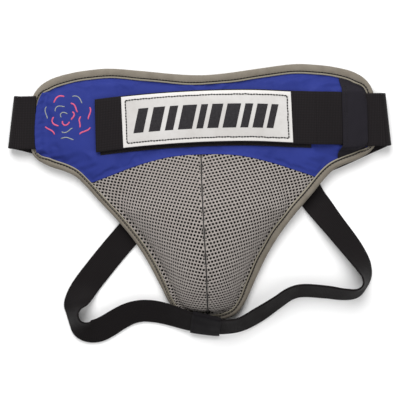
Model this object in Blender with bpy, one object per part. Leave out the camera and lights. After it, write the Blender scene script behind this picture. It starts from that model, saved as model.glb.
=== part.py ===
"""Pelvic protector: a padded panel with a hard cup, a waist belt and two leg straps, lying on its back.

Everything is worked out in millimetres in the panel's own axes: x to the right, y up the panel and z out of
its front, with z = 0 on the surface it lies on. Every vertex is then moved by SHIFT, so that the origin is
the middle of the bottom of the whole object's box, and scaled to metres.
"""

import math

import bmesh
import bpy
from mathutils import Vector
from mathutils.geometry import delaunay_2d_cdt

MM = 0.001
SHIFT = Vector((3.9, 60.5, 0.0))

# Webbing
BELT_WIDTH, BELT_THICKNESS = 50.8, 1.8
STRAP_WIDTH, STRAP_THICKNESS = 25.4, 1.6
GAP = 0.4
FOAM_SLACK = 1.3

# Panel layers, as heights above the panel's underside
PANEL_LIFT = 4.3
TIP_DROP, TIP_DROP_FROM, TIP_DROP_OVER = 3.3, -60.0, 90.0
BINDING_FLAP = 0.9
BINDING_WEB = 1.3
BINDING_HEIGHT = 7.4
BINDING_CHAMFER_IN, BINDING_CHAMFER_UP = 0.8, 1.2
LINER_BOTTOM, LINER_TOP = 1.2, 2.2
FILLING_BOTTOM = 2.6
CUP_FLANGE_TOP = 5.0
COVER_THICKNESS, MESH_THICKNESS = 1.2, 1.5
COVER_EDGE_TOP = 6.2
PUFF_HEIGHT, PUFF_REACH = 5.0, 8.0
LAYER_INSET = 1.6
FLAT_BEYOND_FLAP = 1.6
COVER_SLACK_EASE, COVER_SLACK_PER_RISE = 5.0, 0.04

# Width of the binding's flaps on the lower sides, then how it changes elsewhere: (change, from, over)
FLAP_WIDTH = 7.5
FLAP_TOP = (2.0, 10.0, 40.0)
FLAP_ENDS = (-2.5, 150.0, 12.0)
FLAP_TIP = (-1.5, -120.0, 40.0)

# Panel outline, right half from the top centre to the tip at the crotch
HALF_OUTLINE = [
    (0, 62.5), (25, 64), (57, 67.8), (88, 70.9), (110, 69.7), (128, 67), (145, 62.2), (157.5, 54),
    (164.5, 41), (166.3, 18), (165.8, -5), (160.5, -14.5), (149, -21.5), (134, -27), (124, -32),
    (115, -40.5), (103, -54.5), (84, -76), (70, -94), (60, -109.5), (51, -126.6), (44, -141),
    (37, -155.5), (28.5, -167.5), (16, -172.8), (0, -174.2),
]
OUTLINE_STEP = 9.0
CURVE_CUTS = 12

# Boundary between the yoke and the mesh, right half from the centre to past the panel's edge
MESH_BOUNDARY = [(0, -12.6), (16, -12.9), (34, -14.6), (53, -18.8), (71, -24.2), (90, -31), (116, -40)]
SEAM_GAP = 0.3
BOUNDARY_STEP, BOUNDARY_SEARCH_STEP = 4.5, 0.5
BOUNDARY_END_BACK, MESH_CORNER_BACK = 0.8, 0.6
YOKE_RIM_CLEAR, MESH_RIM_CLEAR = 2.0, 4.0
CENTER_SEAM_RUNGS, CENTER_SEAM_TIP_BACK = 21, 0.2

# Rise of the front over the cup along the centre line: (y, rise)
CUP_RISE = [
    (2, 0), (-10, 1.2), (-18, 4), (-31, 11), (-45, 19), (-60, 26), (-77, 31.5), (-95, 35), (-113, 36.5),
    (-128, 35), (-140, 30.5), (-150, 23), (-160, 13), (-167, 5), (-173, 0),
]
RISE_HALF_WIDTH_MAX = 80.0
RISE_EDGE_SLANT, RISE_EDGE_EASE = 1.3, 3.0
FULLNESS_LOW, FULLNESS_GAIN, FULLNESS_FROM, FULLNESS_OVER = 0.95, 1.0, -60.0, 50.0

# Hard cup footprint: an egg with its blunt end up
CUP_CENTER_Y = -98.0
CUP_LENGTH_UP, CUP_LENGTH_DOWN = 62.0, 54.0
CUP_HALF_WIDTH, CUP_TAPER = 41.0, 0.18
CUP_SHOULDER = 3.5
CUP_CLEARANCE = 3.0
CUP_FLANGE = 1.06
CUP_WALL_SCALE, CUP_CROWN_SCALE = 1.07, 0.985
BOWL_TOP_SCALE, BOWL_TOP_CROWN = 1.14, 0.96
BOWL_WALL_SCALE, BOWL_CROWN_SCALE = 1.18, 0.94
BEAD_RADIUS = 1.3
BEAD_OFFSET = 1.115
BEAD_CORNERS = 6
SURROUND_HOLE = 1.175
CUP_CORNERS, RIM_CORNERS = 56, 48

# Triangle lattice that the stacked layers share
LATTICE = 7.8
FINE_LATTICE_REACH = 1.35
LATTICE_CLEARANCE, LATTICE_FIT = 2.5, 0.45
WELD = 1e-5
SHARP_ANGLE = 40.0
MITRE_LIMIT = 0.5

# Foams: where the middle one ends, and the corners along their straight edges
FOAM_SPLIT, FOAM_SPLIT_GAP = 62.0, 1.2
FOAM_RUNGS = (0.0, 16.0, 32.0, 48.0)
FOAM_CENTER_LOW_XS = (-50.0, -36.0, -22.0, -8.0, 8.0, 22.0, 36.0, 50.0)
FOAM_WING_LOW_XS = (74.0, 84.0, 94.0)
FOAM_ABOVE_SEAM, FOAM_BELOW_SEAM = 2.0, 1.5
FOAM_CORNER_CLEAR, FOAM_TOP_FROM = 4.0, 20.0
FOAM_SEAM_END_MAX = 110.0
SURROUND_TOP_RUNGS = 9

# Closure tab at the front
TAB_LEFT, TAB_RIGHT, LINK_RIGHT = -103.0, 86.0, 131.5
TAB_CREST_X, TAB_CREST_Y, TAB_SAG, TAB_SAG_SPAN = 18.0, 22.4, 6.7, 120.0
LABEL_LEFT, LABEL_HEIGHT, LABEL_END_BACK = -78.0, 48.6, 0.4
LOOP_LEFT, LOOP_RIGHT, LOOP_HEIGHT, LOOP_SHIFT = -99.0, 103.0, 52.0, -2.6
HOOK_LEFT, HOOK_END_BACK, HOOK_HEIGHT = -98.0, 4.0, 47.0
STRIP_STEP = 11.0
GROUND_MARGIN = 1.0
LOOP_LIFT, HOOK_LIFT, TAB_LIFT, LABEL_LIFT = 0.5, 1.9, 3.3, 5.5
PATCH_THICKNESS = 1.0
LINK_END_LIFT, LINK_EASE_FROM, LINK_EASE_OVER = 0.6, 106.0, 24.0
HINGE_GAP = 0.5
TAB_HINGE_CLEAR, LINK_HINGE_CLEAR = 0.4, 0.6

# Waist belt
BELT_FRONT_Y = 15.5
BELT_LEFT_XS, BELT_LEFT_Y, BELT_LEFT_FRONT_Z = (-160.8, -166.0, -171.0), 20.6, 12.9
BELT_RIGHT_XS, BELT_RIGHT_TOP_X = (167.0, 163.0, 158.0, 152.0, 145.0, 138.0), 163.0
FOLD_RADIUS, FOLD_SPANS = 6.0, 7
LEFT_FOLD = Vector((-177.9, 20.8))
RIGHT_FOLD = Vector((171.4, 15.2))
LEFT_FOLD_LEAN, RIGHT_FOLD_LEAN = 8.0, -5.0
REAR_BELT = [(-160, 16), (-118.5, 3), (-70, -10), (-23, -20.5), (39, -26), (102, -14), (155, 7)]
REAR_BELT_STEP = 14.0
BELT_SOUNDINGS = 12

# Keepers
KEEPER_LEFT, KEEPER_RIGHT, KEEPER_THICKNESS = 132.6, 157.0, 1.4
KEEPER_LOW_Y, KEEPER_LOW_SLOPE = -16.6, 0.09
KEEPER_HIGH_Y, KEEPER_HIGH_SLOPE = 56.0, -0.16
KEEPER_BESIDE_BELT, KEEPER_FALL_LOW, KEEPER_FALL_HIGH = 0.8, 3.6, 9.0
KEEPER_COLUMNS = 5
KEEPER_FRACTIONS = (0.0, 0.025, 0.05, 0.075, 0.1, 0.2, 0.35, 0.5, 0.65, 0.78, 0.82, 0.86, 0.9, 0.95, 1.0)
CROTCH_KEEPER_LEFT, CROTCH_KEEPER_RIGHT, CROTCH_KEEPER_WALL = -15.5, 11.5, 1.2
CROTCH_KEEPER_SPANS, CROTCH_KEEPER_CHAMFER = 6, 0.45
CROTCH_REACH_X, CROTCH_REACH_Y = 30.0, -150.0
KEEPER_CLEARANCE = 0.5

# Leg strap, from the left end on the rear belt, round the left leg, through the crotch keeper and round the
# right leg to the right end: (x, y, lean in degrees, lift of the lower edge above the surface)
STRAP_ROUTE = [
    (-8, -13, 0, 2.1), (-22, -29, 0, 2.1), (-38, -47, 0, 2.1), (-52, -63, 0, 0.5), (-64, -76.5, 0, 0),
    (-76, -89.5, 0, 0), (-90, -105, 0, 0), (-104, -121.5, 2, 0.3), (-117, -136.5, 12, 0.3),
    (-126.5, -148.5, 36, 0.3), (-130.8, -161, 62, 0.3), (-127.5, -172.5, 60, 0.3),
    (-117.5, -180, 38, 0.3), (-107, -180.3, 27, 0.3), (-97, -175.8, 30, 0.3), (-86.8, -170, 31, 0.3),
    (-75.7, -165, 31, 0.3), (-64.5, -162.8, 31, 0.3), (-53.5, -163.2, 31, 0.3),
    (-42.5, -165.4, 33, 0.3), (-32, -168.6, 37, 1), (-16, -173.8, 43, 3.5), (-2, -177, 47, 3.8),
    (13, -179.4, 53, 3.4), (30.5, -177.8, 55, 1.4), (48.5, -169, 53, 0.3), (65.8, -158.2, 58, 0.3),
    (79.4, -149.6, 59, 0.3), (92.3, -146.8, 59, 0.3), (114, -148.7, 60, 0.3), (130.8, -151.3, 63, 0.3),
    (142.8, -150.8, 68, 0.3), (150.6, -144.5, 76, 0.3), (152.9, -135.5, 66, 0.3), (151, -127, 53, 0.3),
    (147.5, -119, 44, 0.3), (138, -104.5, 33, 0.3), (121.5, -82.5, 24, 0.3), (112, -69.5, 12, 0.3),
    (103, -56.5, 0, 0.4), (97, -42, 0, 2.1), (92, -22, 0, 2.1), (90.5, -10, 0, 2.1),
]
STRAP_STEP = 6.0
CUT_MARGIN = 5

# Axis of each leg loop: a point where the upper run bends and a point where the lower run bends
LEFT_LOOP_AXIS = (Vector((-84.3, -92.0, 2.8)), Vector((-35.4, -171.0, 19.0)))
RIGHT_LOOP_AXIS = (Vector((109.0, -59.3, 6.0)), Vector((33.6, -175.6, 25.0)))
LOOP_CUT_GAP = 0.8


# ---------------------------------------------------------------- curves and fields

def smoothstep(t):
    t = min(max(t, 0.0), 1.0)
    return t * t * (3.0 - 2.0 * t)


def catmull(p0, p1, p2, p3, t):
    """Catmull-Rom point between p1 and p2, for numbers or vectors."""
    return 0.5 * (2.0 * p1 + (p2 - p0) * t + (2.0 * p0 - 5.0 * p1 + 4.0 * p2 - p3) * t * t
                  + (3.0 * p1 - p0 - 3.0 * p2 + p3) * t * t * t)


def smooth_path(points, step, closed=False):
    """Evenly spaced points, about step apart, on the smooth curve through the given points."""
    points = [Vector(p) for p in points]
    count = len(points)
    dense = []
    for i in range(count if closed else count - 1):
        if closed:
            near = [points[(i + k) % count] for k in (-1, 0, 1, 2)]
        else:
            near = [points[min(max(i + k, 0), count - 1)] for k in (-1, 0, 1, 2)]
        dense += [catmull(*near, k / CURVE_CUTS) for k in range(CURVE_CUTS)]
    dense.append(points[0].copy() if closed else points[-1].copy())

    lengths = [0.0]
    for a, b in zip(dense, dense[1:]):
        lengths.append(lengths[-1] + (b.xy - a.xy).length)
    spans = max(2, 2 * round(0.5 * lengths[-1] / step))
    path, k = [], 0
    for i in range(spans if closed else spans + 1):
        target = lengths[-1] * i / spans
        while k < len(dense) - 2 and lengths[k + 1] < target:
            k += 1
        t = (target - lengths[k]) / (lengths[k + 1] - lengths[k])
        path.append(dense[k].lerp(dense[k + 1], min(max(t, 0.0), 1.0)))
    return path


def mirrored(half):
    """The closed anticlockwise outline whose right half is given from top to bottom."""
    return [(-x, y) for x, y in half] + half[-2:0:-1]


def inward_normals(loop):
    """Unit normals that point into an anticlockwise loop."""
    normals = []
    for i in range(len(loop)):
        along = (loop[(i + 1) % len(loop)] - loop[i - 1]).normalized()
        normals.append(Vector((-along.y, along.x)))
    return normals


def inset(loop, distance):
    return [p + n * distance for p, n in zip(loop, inward_normals(loop))]


def order_from(points, loop):
    """Points of a loop that form one stretch of it, in the loop's order."""
    flags = [p in points for p in loop]
    start = next(i for i in range(len(loop)) if flags[i] and not flags[i - 1])
    return [loop[(start + k) % len(loop)] for k in range(len(points))]


def inside(loop, x, y):
    hit = False
    for a, b in zip(loop, loop[1:] + loop[:1]):
        if (a.y > y) != (b.y > y) and x < a.x + (b.x - a.x) * (y - a.y) / (b.y - a.y):
            hit = not hit
    return hit


def distance_to(loop, x, y):
    best = 1e9
    for a, b in zip(loop, loop[1:] + loop[:1]):
        along = b - a
        t = ((x - a.x) * along.x + (y - a.y) * along.y) / along.length_squared
        t = min(max(t, 0.0), 1.0)
        best = min(best, math.hypot(a.x + along.x * t - x, a.y + along.y * t - y))
    return best


OUTLINE = [p.xy for p in smooth_path(mirrored(HALF_OUTLINE), OUTLINE_STEP, closed=True)]


def table_value(table, y):
    """Smooth value at y in a table of (y, value) that runs downwards."""
    if y >= table[0][0]:
        return table[0][1]
    if y <= table[-1][0]:
        return table[-1][1]
    i = next(k for k in range(len(table) - 1) if table[k + 1][0] <= y)
    values = [table[min(max(i + k, 0), len(table) - 1)][1] for k in (-1, 0, 1, 2)]
    t = (table[i][0] - y) / (table[i][0] - table[i + 1][0])
    return max(catmull(*values, t), 0.0)


def half_width(y):
    """Half the panel's width at y, along its lower sides."""
    crossings = [a.x + (b.x - a.x) * (y - a.y) / (b.y - a.y)
                 for a, b in zip(OUTLINE, OUTLINE[1:] + OUTLINE[:1]) if (a.y > y) != (b.y > y)]
    return max(crossings) if crossings else 0.0


def base(y):
    """Height of the panel's underside, which comes down to the surface at the crotch."""
    return PANEL_LIFT - TIP_DROP * smoothstep((TIP_DROP_FROM - y) / TIP_DROP_OVER)


def flap_width(x, y):
    """How far the binding reaches in over the panel."""
    width = FLAP_WIDTH
    for where, (change, start, over) in ((y, FLAP_TOP), (abs(x), FLAP_ENDS)):
        width += change * smoothstep((where - start) / over)
    change, start, over = FLAP_TIP
    return width + change * smoothstep((start - y) / over)


def beyond_flap(x, y):
    """Distance inwards from the binding's inner edge, less the flat margin beside it."""
    return distance_to(OUTLINE, x, y) - flap_width(x, y) - FLAT_BEYOND_FLAP


def rise(x, y):
    """How far the cup pushes the front out."""
    slanted_flap = RISE_EDGE_SLANT * (flap_width(x, y) + FLAT_BEYOND_FLAP)
    reach = min(half_width(y) - slanted_flap, RISE_HALF_WIDTH_MAX)
    if reach <= abs(x):
        return 0.0
    fullness = FULLNESS_LOW + FULLNESS_GAIN * smoothstep((y - FULLNESS_FROM) / FULLNESS_OVER)
    clear = smoothstep(beyond_flap(x, y) / RISE_EDGE_EASE)
    return clear * table_value(CUP_RISE, y) * (1.0 - (x / reach) ** 2) ** fullness


def cover_top(x, y):
    """Height of the panel's front."""
    puff = 1.0 - math.exp(-max(beyond_flap(x, y), 0.0) / PUFF_REACH)
    return base(y) + COVER_EDGE_TOP + PUFF_HEIGHT * puff + rise(x, y)


def ground(x, y):
    """Height of whatever a webbing on the front lies on: the cover, or the binding at the edge."""
    top = cover_top(x, y)
    if distance_to(OUTLINE, x, y) < flap_width(x, y) + GROUND_MARGIN:
        top = max(top, base(y) + BINDING_HEIGHT)
    return top


def egg_half_width(y):
    return CUP_HALF_WIDTH + CUP_TAPER * (y - CUP_CENTER_Y)


def egg(x, y):
    """0 at the cup's centre and 1 on its rim."""
    length = CUP_LENGTH_UP if y > CUP_CENTER_Y else CUP_LENGTH_DOWN
    return math.hypot(x / egg_half_width(y), (y - CUP_CENTER_Y) / length)


def egg_loop(scale, count):
    loop = []
    for i in range(count):
        angle = 2.0 * math.pi * i / count
        length = CUP_LENGTH_UP if math.sin(angle) > 0 else CUP_LENGTH_DOWN
        y = CUP_CENTER_Y + scale * length * math.sin(angle)
        loop.append(Vector((scale * egg_half_width(y) * math.cos(angle), y)))
    return loop


def dome(x, y, scale):
    """Height of the cup's dome over its flange, for a dome shrunk by scale."""
    q = egg(x, y) * scale
    if q >= 1.0:
        return 0.0
    crown = cover_top(x, y) - base(y) - CUP_CLEARANCE - CUP_FLANGE_TOP
    return max(crown, 0.0) * (1.0 - q ** CUP_SHOULDER)


# ---------------------------------------------------------------- meshes

def material(name, color, roughness, metallic=0.0):
    made = bpy.data.materials.new(name)
    made.use_nodes = True
    shader = made.node_tree.nodes["Principled BSDF"]
    shader.inputs["Base Color"].default_value = (*color, 1.0)
    shader.inputs["Roughness"].default_value = roughness
    shader.inputs["Metallic"].default_value = metallic
    return made


def add_object(name, bm, finish, pivot=None):
    """Turns a bmesh in panel millimetres into an object in metres, with its origin at pivot."""
    bmesh.ops.triangulate(bm, faces=bm.faces[:])
    bmesh.ops.recalc_face_normals(bm, faces=bm.faces[:])
    if bm.calc_volume(signed=True) < 0.0:
        bmesh.ops.reverse_faces(bm, faces=bm.faces[:])
    origin = (pivot + SHIFT) * MM if pivot else Vector((0.0, 0.0, 0.0))
    for v in bm.verts:
        v.co = (v.co + SHIFT) * MM - origin
    mesh = bpy.data.meshes.new(name)
    bm.to_mesh(mesh)
    bm.free()
    mesh.shade_smooth()
    mesh.set_sharp_from_angle(angle=math.radians(SHARP_ANGLE))
    mesh.materials.append(material(name, *finish))
    made = bpy.data.objects.new(name, mesh)
    made.location = origin
    bpy.context.scene.collection.objects.link(made)
    return made


def flap_ring():
    """Points just inside the binding's inner edge, so that the layers stay flat under it."""
    return [p + n * (flap_width(p.x, p.y) + FLAT_BEYOND_FLAP)
            for p, n in zip(OUTLINE, inward_normals(OUTLINE))]


def lattice_points():
    """A triangular lattice over the panel, twice as fine round the cup. Stacked layers share its points."""
    row = LATTICE * math.sqrt(3.0) / 2.0
    ring = flap_ring()
    reach = math.ceil(max(p.x for p in ring) / LATTICE) + 1
    lowest, highest = min(p.y for p in ring), max(p.y for p in ring)
    points = []
    for j in range(math.floor(lowest / row), math.ceil(highest / row) + 1):
        for i in range(-reach, reach + 1):
            x, y = (i + 0.5 * (j % 2)) * LATTICE, j * row
            wanted = (j % 2 == 0 and (i + j // 2) % 2 == 0) or egg(x, y) < FINE_LATTICE_REACH
            if wanted and inside(ring, x, y) and distance_to(ring, x, y) > LATTICE_CLEARANCE:
                points.append(Vector((x, y)))
    return points


LATTICE_POINTS = lattice_points()
RING_POINTS = flap_ring()


def plate_mesh(loops, bottom, top):
    """A closed slab between two height fields over an area: its outline, then any holes in it."""
    points, edges = [], []
    for loop in loops:
        first = len(points)
        points += loop
        edges += [(first + i, first + (i + 1) % len(loop)) for i in range(len(loop))]
    candidates = [(p, LATTICE_CLEARANCE) for p in RING_POINTS]
    candidates += [(p, LATTICE_FIT * LATTICE) for p in LATTICE_POINTS]
    for p, clearance in candidates:
        if inside(loops[0], p.x, p.y) and not any(inside(hole, p.x, p.y) for hole in loops[1:]):
            if min(distance_to(loop, p.x, p.y) for loop in loops) > clearance:
                points.append(p)
    flat, _, triangles, *_ = delaunay_2d_cdt(points, edges, [], 0, WELD)

    bm = bmesh.new()
    lower = [bm.verts.new((p.x, p.y, bottom(p.x, p.y))) for p in flat]
    upper = [bm.verts.new((p.x, p.y, top(p.x, p.y))) for p in flat]
    uses = {}
    for tri in triangles:
        x, y = sum((flat[i] for i in tri), Vector((0.0, 0.0))) / 3.0
        if not inside(loops[0], x, y) or any(inside(hole, x, y) for hole in loops[1:]):
            continue
        bm.faces.new([upper[i] for i in tri])
        bm.faces.new([lower[i] for i in reversed(tri)])
        for a, b in ((tri[0], tri[1]), (tri[1], tri[2]), (tri[2], tri[0])):
            uses[(a, b)] = True
    for a, b in uses:
        if (b, a) not in uses:
            bm.faces.new((upper[a], lower[a], lower[b], upper[b]))
    bmesh.ops.delete(bm, geom=[v for v in bm.verts if not v.link_faces], context="VERTS")
    return bm


def plate(name, loops, bottom, top, finish, pivot=None):
    return add_object(name, plate_mesh(loops, bottom, top), finish, pivot)


def ribbon_mesh(stations, width, thickness):
    """A flat webbing through stations, each a centre point and a direction across the webbing."""
    bm = bmesh.new()
    rings = []
    for i, (center, across) in enumerate(stations):
        before, after = stations[max(i - 1, 0)][0], stations[min(i + 1, len(stations) - 1)][0]
        along = (after - before).normalized()
        normal = along.cross(across)
        half = across * (0.5 * width / max(normal.length, MITRE_LIMIT))
        up = normal.normalized() * (0.5 * thickness)
        corners = (center - half - up, center + half - up, center + half + up, center - half + up)
        rings.append([bm.verts.new(c) for c in corners])
    for a, b in zip(rings, rings[1:]):
        for k in range(4):
            bm.faces.new((a[k], a[(k + 1) % 4], b[(k + 1) % 4], b[k]))
    bm.faces.new(rings[0][::-1])
    bm.faces.new(rings[-1])
    return bm


def sweep_ring(sections):
    """A closed ring through closed sections that all have the same number of corners."""
    bm = bmesh.new()
    rings = [[bm.verts.new(p) for p in section] for section in sections]
    for a, b in zip(rings, rings[1:] + rings[:1]):
        for k in range(len(a)):
            n = (k + 1) % len(a)
            bm.faces.new((a[k], a[n], b[n], b[k]))
    return bm


def keep_side(bm, point, normal):
    """Cuts a solid by a plane and keeps the side that the normal points to."""
    geometry = bm.verts[:] + bm.edges[:] + bm.faces[:]
    bmesh.ops.bisect_plane(bm, geom=geometry, dist=WELD, plane_co=point, plane_no=normal, clear_inner=True)
    rims = [e for e in bm.edges if e.is_boundary]
    bmesh.ops.contextual_create(bm, geom=rims)
    open_rims = [e for e in bm.edges if e.is_boundary]
    if open_rims:
        bmesh.ops.holes_fill(bm, edges=open_rims, sides=0)


# ---------------------------------------------------------------- finishes: colour, roughness

YOKE_BLUE = ((0.036, 0.053, 0.27), 0.62)
MESH_GREY = ((0.33, 0.29, 0.27), 0.8)
BINDING_GREY = ((0.25, 0.225, 0.195), 0.75)
WEB_BLACK = ((0.018, 0.015, 0.017), 0.78)
LINER_GREY = ((0.05, 0.05, 0.055), 0.85)
FOAM_WHITE = ((0.62, 0.6, 0.55), 0.9)
CUP_PLASTIC = ((0.7, 0.7, 0.68), 0.35)
BEAD_RUBBER = ((0.03, 0.03, 0.03), 0.6)
LOOP_BLACK = ((0.012, 0.011, 0.012), 0.95)
LABEL_SILVER = ((0.62, 0.6, 0.6), 0.4)


# ---------------------------------------------------------------- the panel

def boundary_y(x):
    """The line where the blue yoke meets the mesh."""
    table = [(-px, y) for px, y in MESH_BOUNDARY]
    i = next((k for k in range(len(table) - 1) if table[k + 1][0] <= -abs(x)), len(table) - 2)
    near = [table[min(max(i + k, 0), len(table) - 1)][1] for k in (-1, 0, 1, 2)]
    t = (table[i][0] + abs(x)) / (table[i][0] - table[i + 1][0])
    return catmull(*near, min(t, 1.0))


def boundary_points(left, right, offset):
    """Points along the yoke's lower line from left to right, clear of both ends."""
    span = right - left
    steps = max(2, round(abs(span) / BOUNDARY_STEP))
    xs = [left + span * i / steps for i in range(steps + 1)]
    return [Vector((x, boundary_y(x) + offset)) for x in xs]


def boundary_end():
    """How far out the yoke's lower line runs before it meets the binding."""
    x = MESH_BOUNDARY[-2][0]
    while distance_to(OUTLINE, x, boundary_y(x)) > LAYER_INSET + BOUNDARY_END_BACK:
        x += BOUNDARY_SEARCH_STEP
    return x


def yoke_loop(edge_inset):
    loop = inset(OUTLINE, edge_inset)
    kept = [p for p in loop if p.y > boundary_y(p.x) + YOKE_RIM_CLEAR]
    start = next(i for i in range(len(kept)) if (kept[i] - kept[i - 1]).length > 3.0 * OUTLINE_STEP)
    kept = kept[start:] + kept[:start]
    return kept + boundary_points(-boundary_end(), boundary_end(), SEAM_GAP)


def mesh_loop(side, edge_inset):
    """Outline of one mesh half: side is -1 for the left and 1 for the right."""
    loop = inset(OUTLINE, edge_inset)
    low = [p for p in loop if p.y < boundary_y(p.x) - MESH_RIM_CLEAR and p.x > MESH_RIM_CLEAR]
    rim = order_from(low, loop)
    top = boundary_points(boundary_end() - MESH_CORNER_BACK, SEAM_GAP, -SEAM_GAP)
    tip = min(p.y for p in loop) + CENTER_SEAM_TIP_BACK
    flap_y = min(p.y for p in RING_POINTS)
    drop = (flap_y - top[-1].y) / CENTER_SEAM_RUNGS
    seam = [Vector((SEAM_GAP, top[-1].y + drop * i)) for i in range(1, CENTER_SEAM_RUNGS + 1)]
    seam += [Vector((SEAM_GAP, 0.5 * (flap_y + tip))), Vector((SEAM_GAP, tip))]
    whole = rim + top + seam
    return [Vector((side * p.x, p.y)) for p in (whole if side > 0 else whole[::-1])]


def make_panel():
    plate("yoke_cover", [yoke_loop(LAYER_INSET)], lambda x, y: cover_top(x, y) - COVER_THICKNESS, cover_top,
          YOKE_BLUE)
    for side, word in ((-1, "left"), (1, "right")):
        plate("mesh_cover_" + word, [mesh_loop(side, LAYER_INSET)],
              lambda x, y: cover_top(x, y) - MESH_THICKNESS, cover_top, MESH_GREY)

    plate("comfort_liner", [inset(OUTLINE, LAYER_INSET)],
          lambda x, y: base(y) + LINER_BOTTOM + BOWL_CROWN_SCALE * dome(x, y, BOWL_WALL_SCALE),
          lambda x, y: base(y) + LINER_TOP + BOWL_TOP_CROWN * dome(x, y, BOWL_TOP_SCALE), LINER_GREY)

    plate("hard_cup", [egg_loop(CUP_FLANGE, CUP_CORNERS)],
          lambda x, y: base(y) + FILLING_BOTTOM + CUP_CROWN_SCALE * dome(x, y, CUP_WALL_SCALE),
          lambda x, y: base(y) + CUP_FLANGE_TOP + dome(x, y, 1.0), CUP_PLASTIC)

    bead, rim = [], egg_loop(BEAD_OFFSET, RIM_CORNERS)
    for p, n in zip(rim, inward_normals(rim)):
        center = Vector((p.x, p.y, base(p.y) + FILLING_BOTTOM + BEAD_RADIUS))
        angles = [2.0 * math.pi * k / BEAD_CORNERS for k in range(BEAD_CORNERS)]
        bead.append([center + (n.to_3d() * math.cos(a) + Vector((0, 0, 1)) * math.sin(a)) * BEAD_RADIUS
                     for a in angles])
    add_object("cup_rim_bead", sweep_ring(bead), BEAD_RUBBER)

    make_foams()
    make_binding()


def foam_bottom(x, y):
    return base(y) + FILLING_BOTTOM


def foam_top(x, y):
    """Height of the foam's front, which has more slack under the cover where the cup pushes it out."""
    slack = GAP + FOAM_SLACK * smoothstep(rise(x, y) / COVER_SLACK_EASE) + COVER_SLACK_PER_RISE * rise(x, y)
    return cover_top(x, y) - MESH_THICKNESS - slack


def box_loop(left, right, low, high, step):
    """Outline between two curves low(x) and high(x)."""
    steps = max(2, round((right - left) / step))
    xs = [left + (right - left) * i / steps for i in range(steps + 1)]
    loop = [Vector((x, low(x))) for x in xs]
    for x in (xs[-1], xs[0]):
        span = high(x) - low(x)
        rungs = max(2, round(span / step))
        side = [Vector((x, low(x) + span * k / rungs)) for k in range(1, rungs)]
        if x == xs[-1]:
            loop += side + [Vector((v, high(v))) for v in reversed(xs)]
        else:
            loop += side[::-1]
    return loop


def make_foams():
    edge = FOAM_SPLIT
    upper = sorted([p for p in RING_POINTS if abs(p.x) < edge and p.y > FOAM_TOP_FROM], key=lambda p: -p.x)
    corner = [Vector((edge, y)) for y in (boundary_y(edge) + FOAM_ABOVE_SEAM, *FOAM_RUNGS, top_edge(edge))]
    low = [Vector((x, boundary_y(x) + FOAM_ABOVE_SEAM)) for x in FOAM_CENTER_LOW_XS]
    center = low + corner + [p for p in upper if abs(p.x) < edge - FOAM_CORNER_CLEAR]
    center += [Vector((-p.x, p.y)) for p in reversed(corner)]
    plate("yoke_foam_center", [center], foam_bottom, foam_top, FOAM_WHITE)

    start = FOAM_SPLIT + FOAM_SPLIT_GAP
    inner = (top_edge(start), *FOAM_RUNGS[::-1], boundary_y(start) + FOAM_ABOVE_SEAM)
    rim = [p for p in RING_POINTS if p.x > start + FOAM_CORNER_CLEAR
           and p.y > boundary_y(min(p.x, FOAM_SEAM_END_MAX)) + FOAM_CORNER_CLEAR]
    low = [Vector((x, boundary_y(x) + FOAM_ABOVE_SEAM)) for x in FOAM_WING_LOW_XS]
    low = [p for p in low if inside(RING_POINTS, p.x, p.y)]
    wing = [Vector((start, y)) for y in inner] + low + order_from(rim, RING_POINTS)
    plate("wing_foam_right", [wing], foam_bottom, foam_top, FOAM_WHITE)
    wing = [Vector((-p.x, p.y)) for p in reversed(wing)]
    plate("wing_foam_left", [wing], foam_bottom, foam_top, FOAM_WHITE)

    lower = [p for p in RING_POINTS if p.y < boundary_y(p.x) - FOAM_CORNER_CLEAR]
    lower = order_from(lower, RING_POINTS)
    end_x = abs(lower[-1].x) - FOAM_ABOVE_SEAM
    top_xs = [end_x * (1.0 - k / SURROUND_TOP_RUNGS) for k in range(1, 2 * SURROUND_TOP_RUNGS)]
    top_line = [Vector((x, boundary_y(x) - FOAM_BELOW_SEAM)) for x in top_xs]
    hole = egg_loop(SURROUND_HOLE, RIM_CORNERS)[::-1]
    plate("cup_surround_foam", [lower + top_line, hole], foam_bottom, foam_top, FOAM_WHITE)


def top_edge(x):
    """Upper edge of the foam at x."""
    ys = [a.y + (b.y - a.y) * (x - a.x) / (b.x - a.x)
          for a, b in zip(OUTLINE, OUTLINE[1:] + OUTLINE[:1]) if (a.x > x) != (b.x > x)]
    return max(ys) - flap_width(x, max(ys)) - FLAT_BEYOND_FLAP


def make_binding():
    """A folded strip round the panel's edge, open inwards."""
    flap, web, height = BINDING_FLAP, BINDING_WEB, BINDING_HEIGHT
    cut_in, cut_up = BINDING_CHAMFER_IN, BINDING_CHAMFER_UP
    sections = []
    for p, n in zip(OUTLINE, inward_normals(OUTLINE)):
        width = flap_width(p.x, p.y)
        profile = ((cut_in, 0.0), (width, 0.0), (width, flap), (web, flap), (web, height - flap),
                   (width, height - flap), (width, height), (cut_in, height), (0.0, height - cut_up),
                   (0.0, cut_up))
        section = []
        for inwards, up in profile:
            x, y = p + n * inwards
            section.append(Vector((x, y, base(y) + up)))
        sections.append(section)
    add_object("edge_binding", sweep_ring(sections), BINDING_GREY)


# ---------------------------------------------------------------- the closure at the front

def tab_center(x):
    return TAB_CREST_Y - TAB_SAG * ((x - TAB_CREST_X) / TAB_SAG_SPAN) ** 2


def tab_plate(name, left, right, width, shift, lift, thickness, finish, pivot=None):
    """A strip that lies on the panel's front along the closure's line."""
    low = lambda x: tab_center(x) + shift - 0.5 * width
    high = lambda x: tab_center(x) + shift + 0.5 * width
    return plate(name, [box_loop(left, right, low, high, STRIP_STEP)],
                 lambda x, y: cover_top(x, y) + lift(x), lambda x, y: cover_top(x, y) + lift(x) + thickness,
                 finish, pivot)


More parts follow.
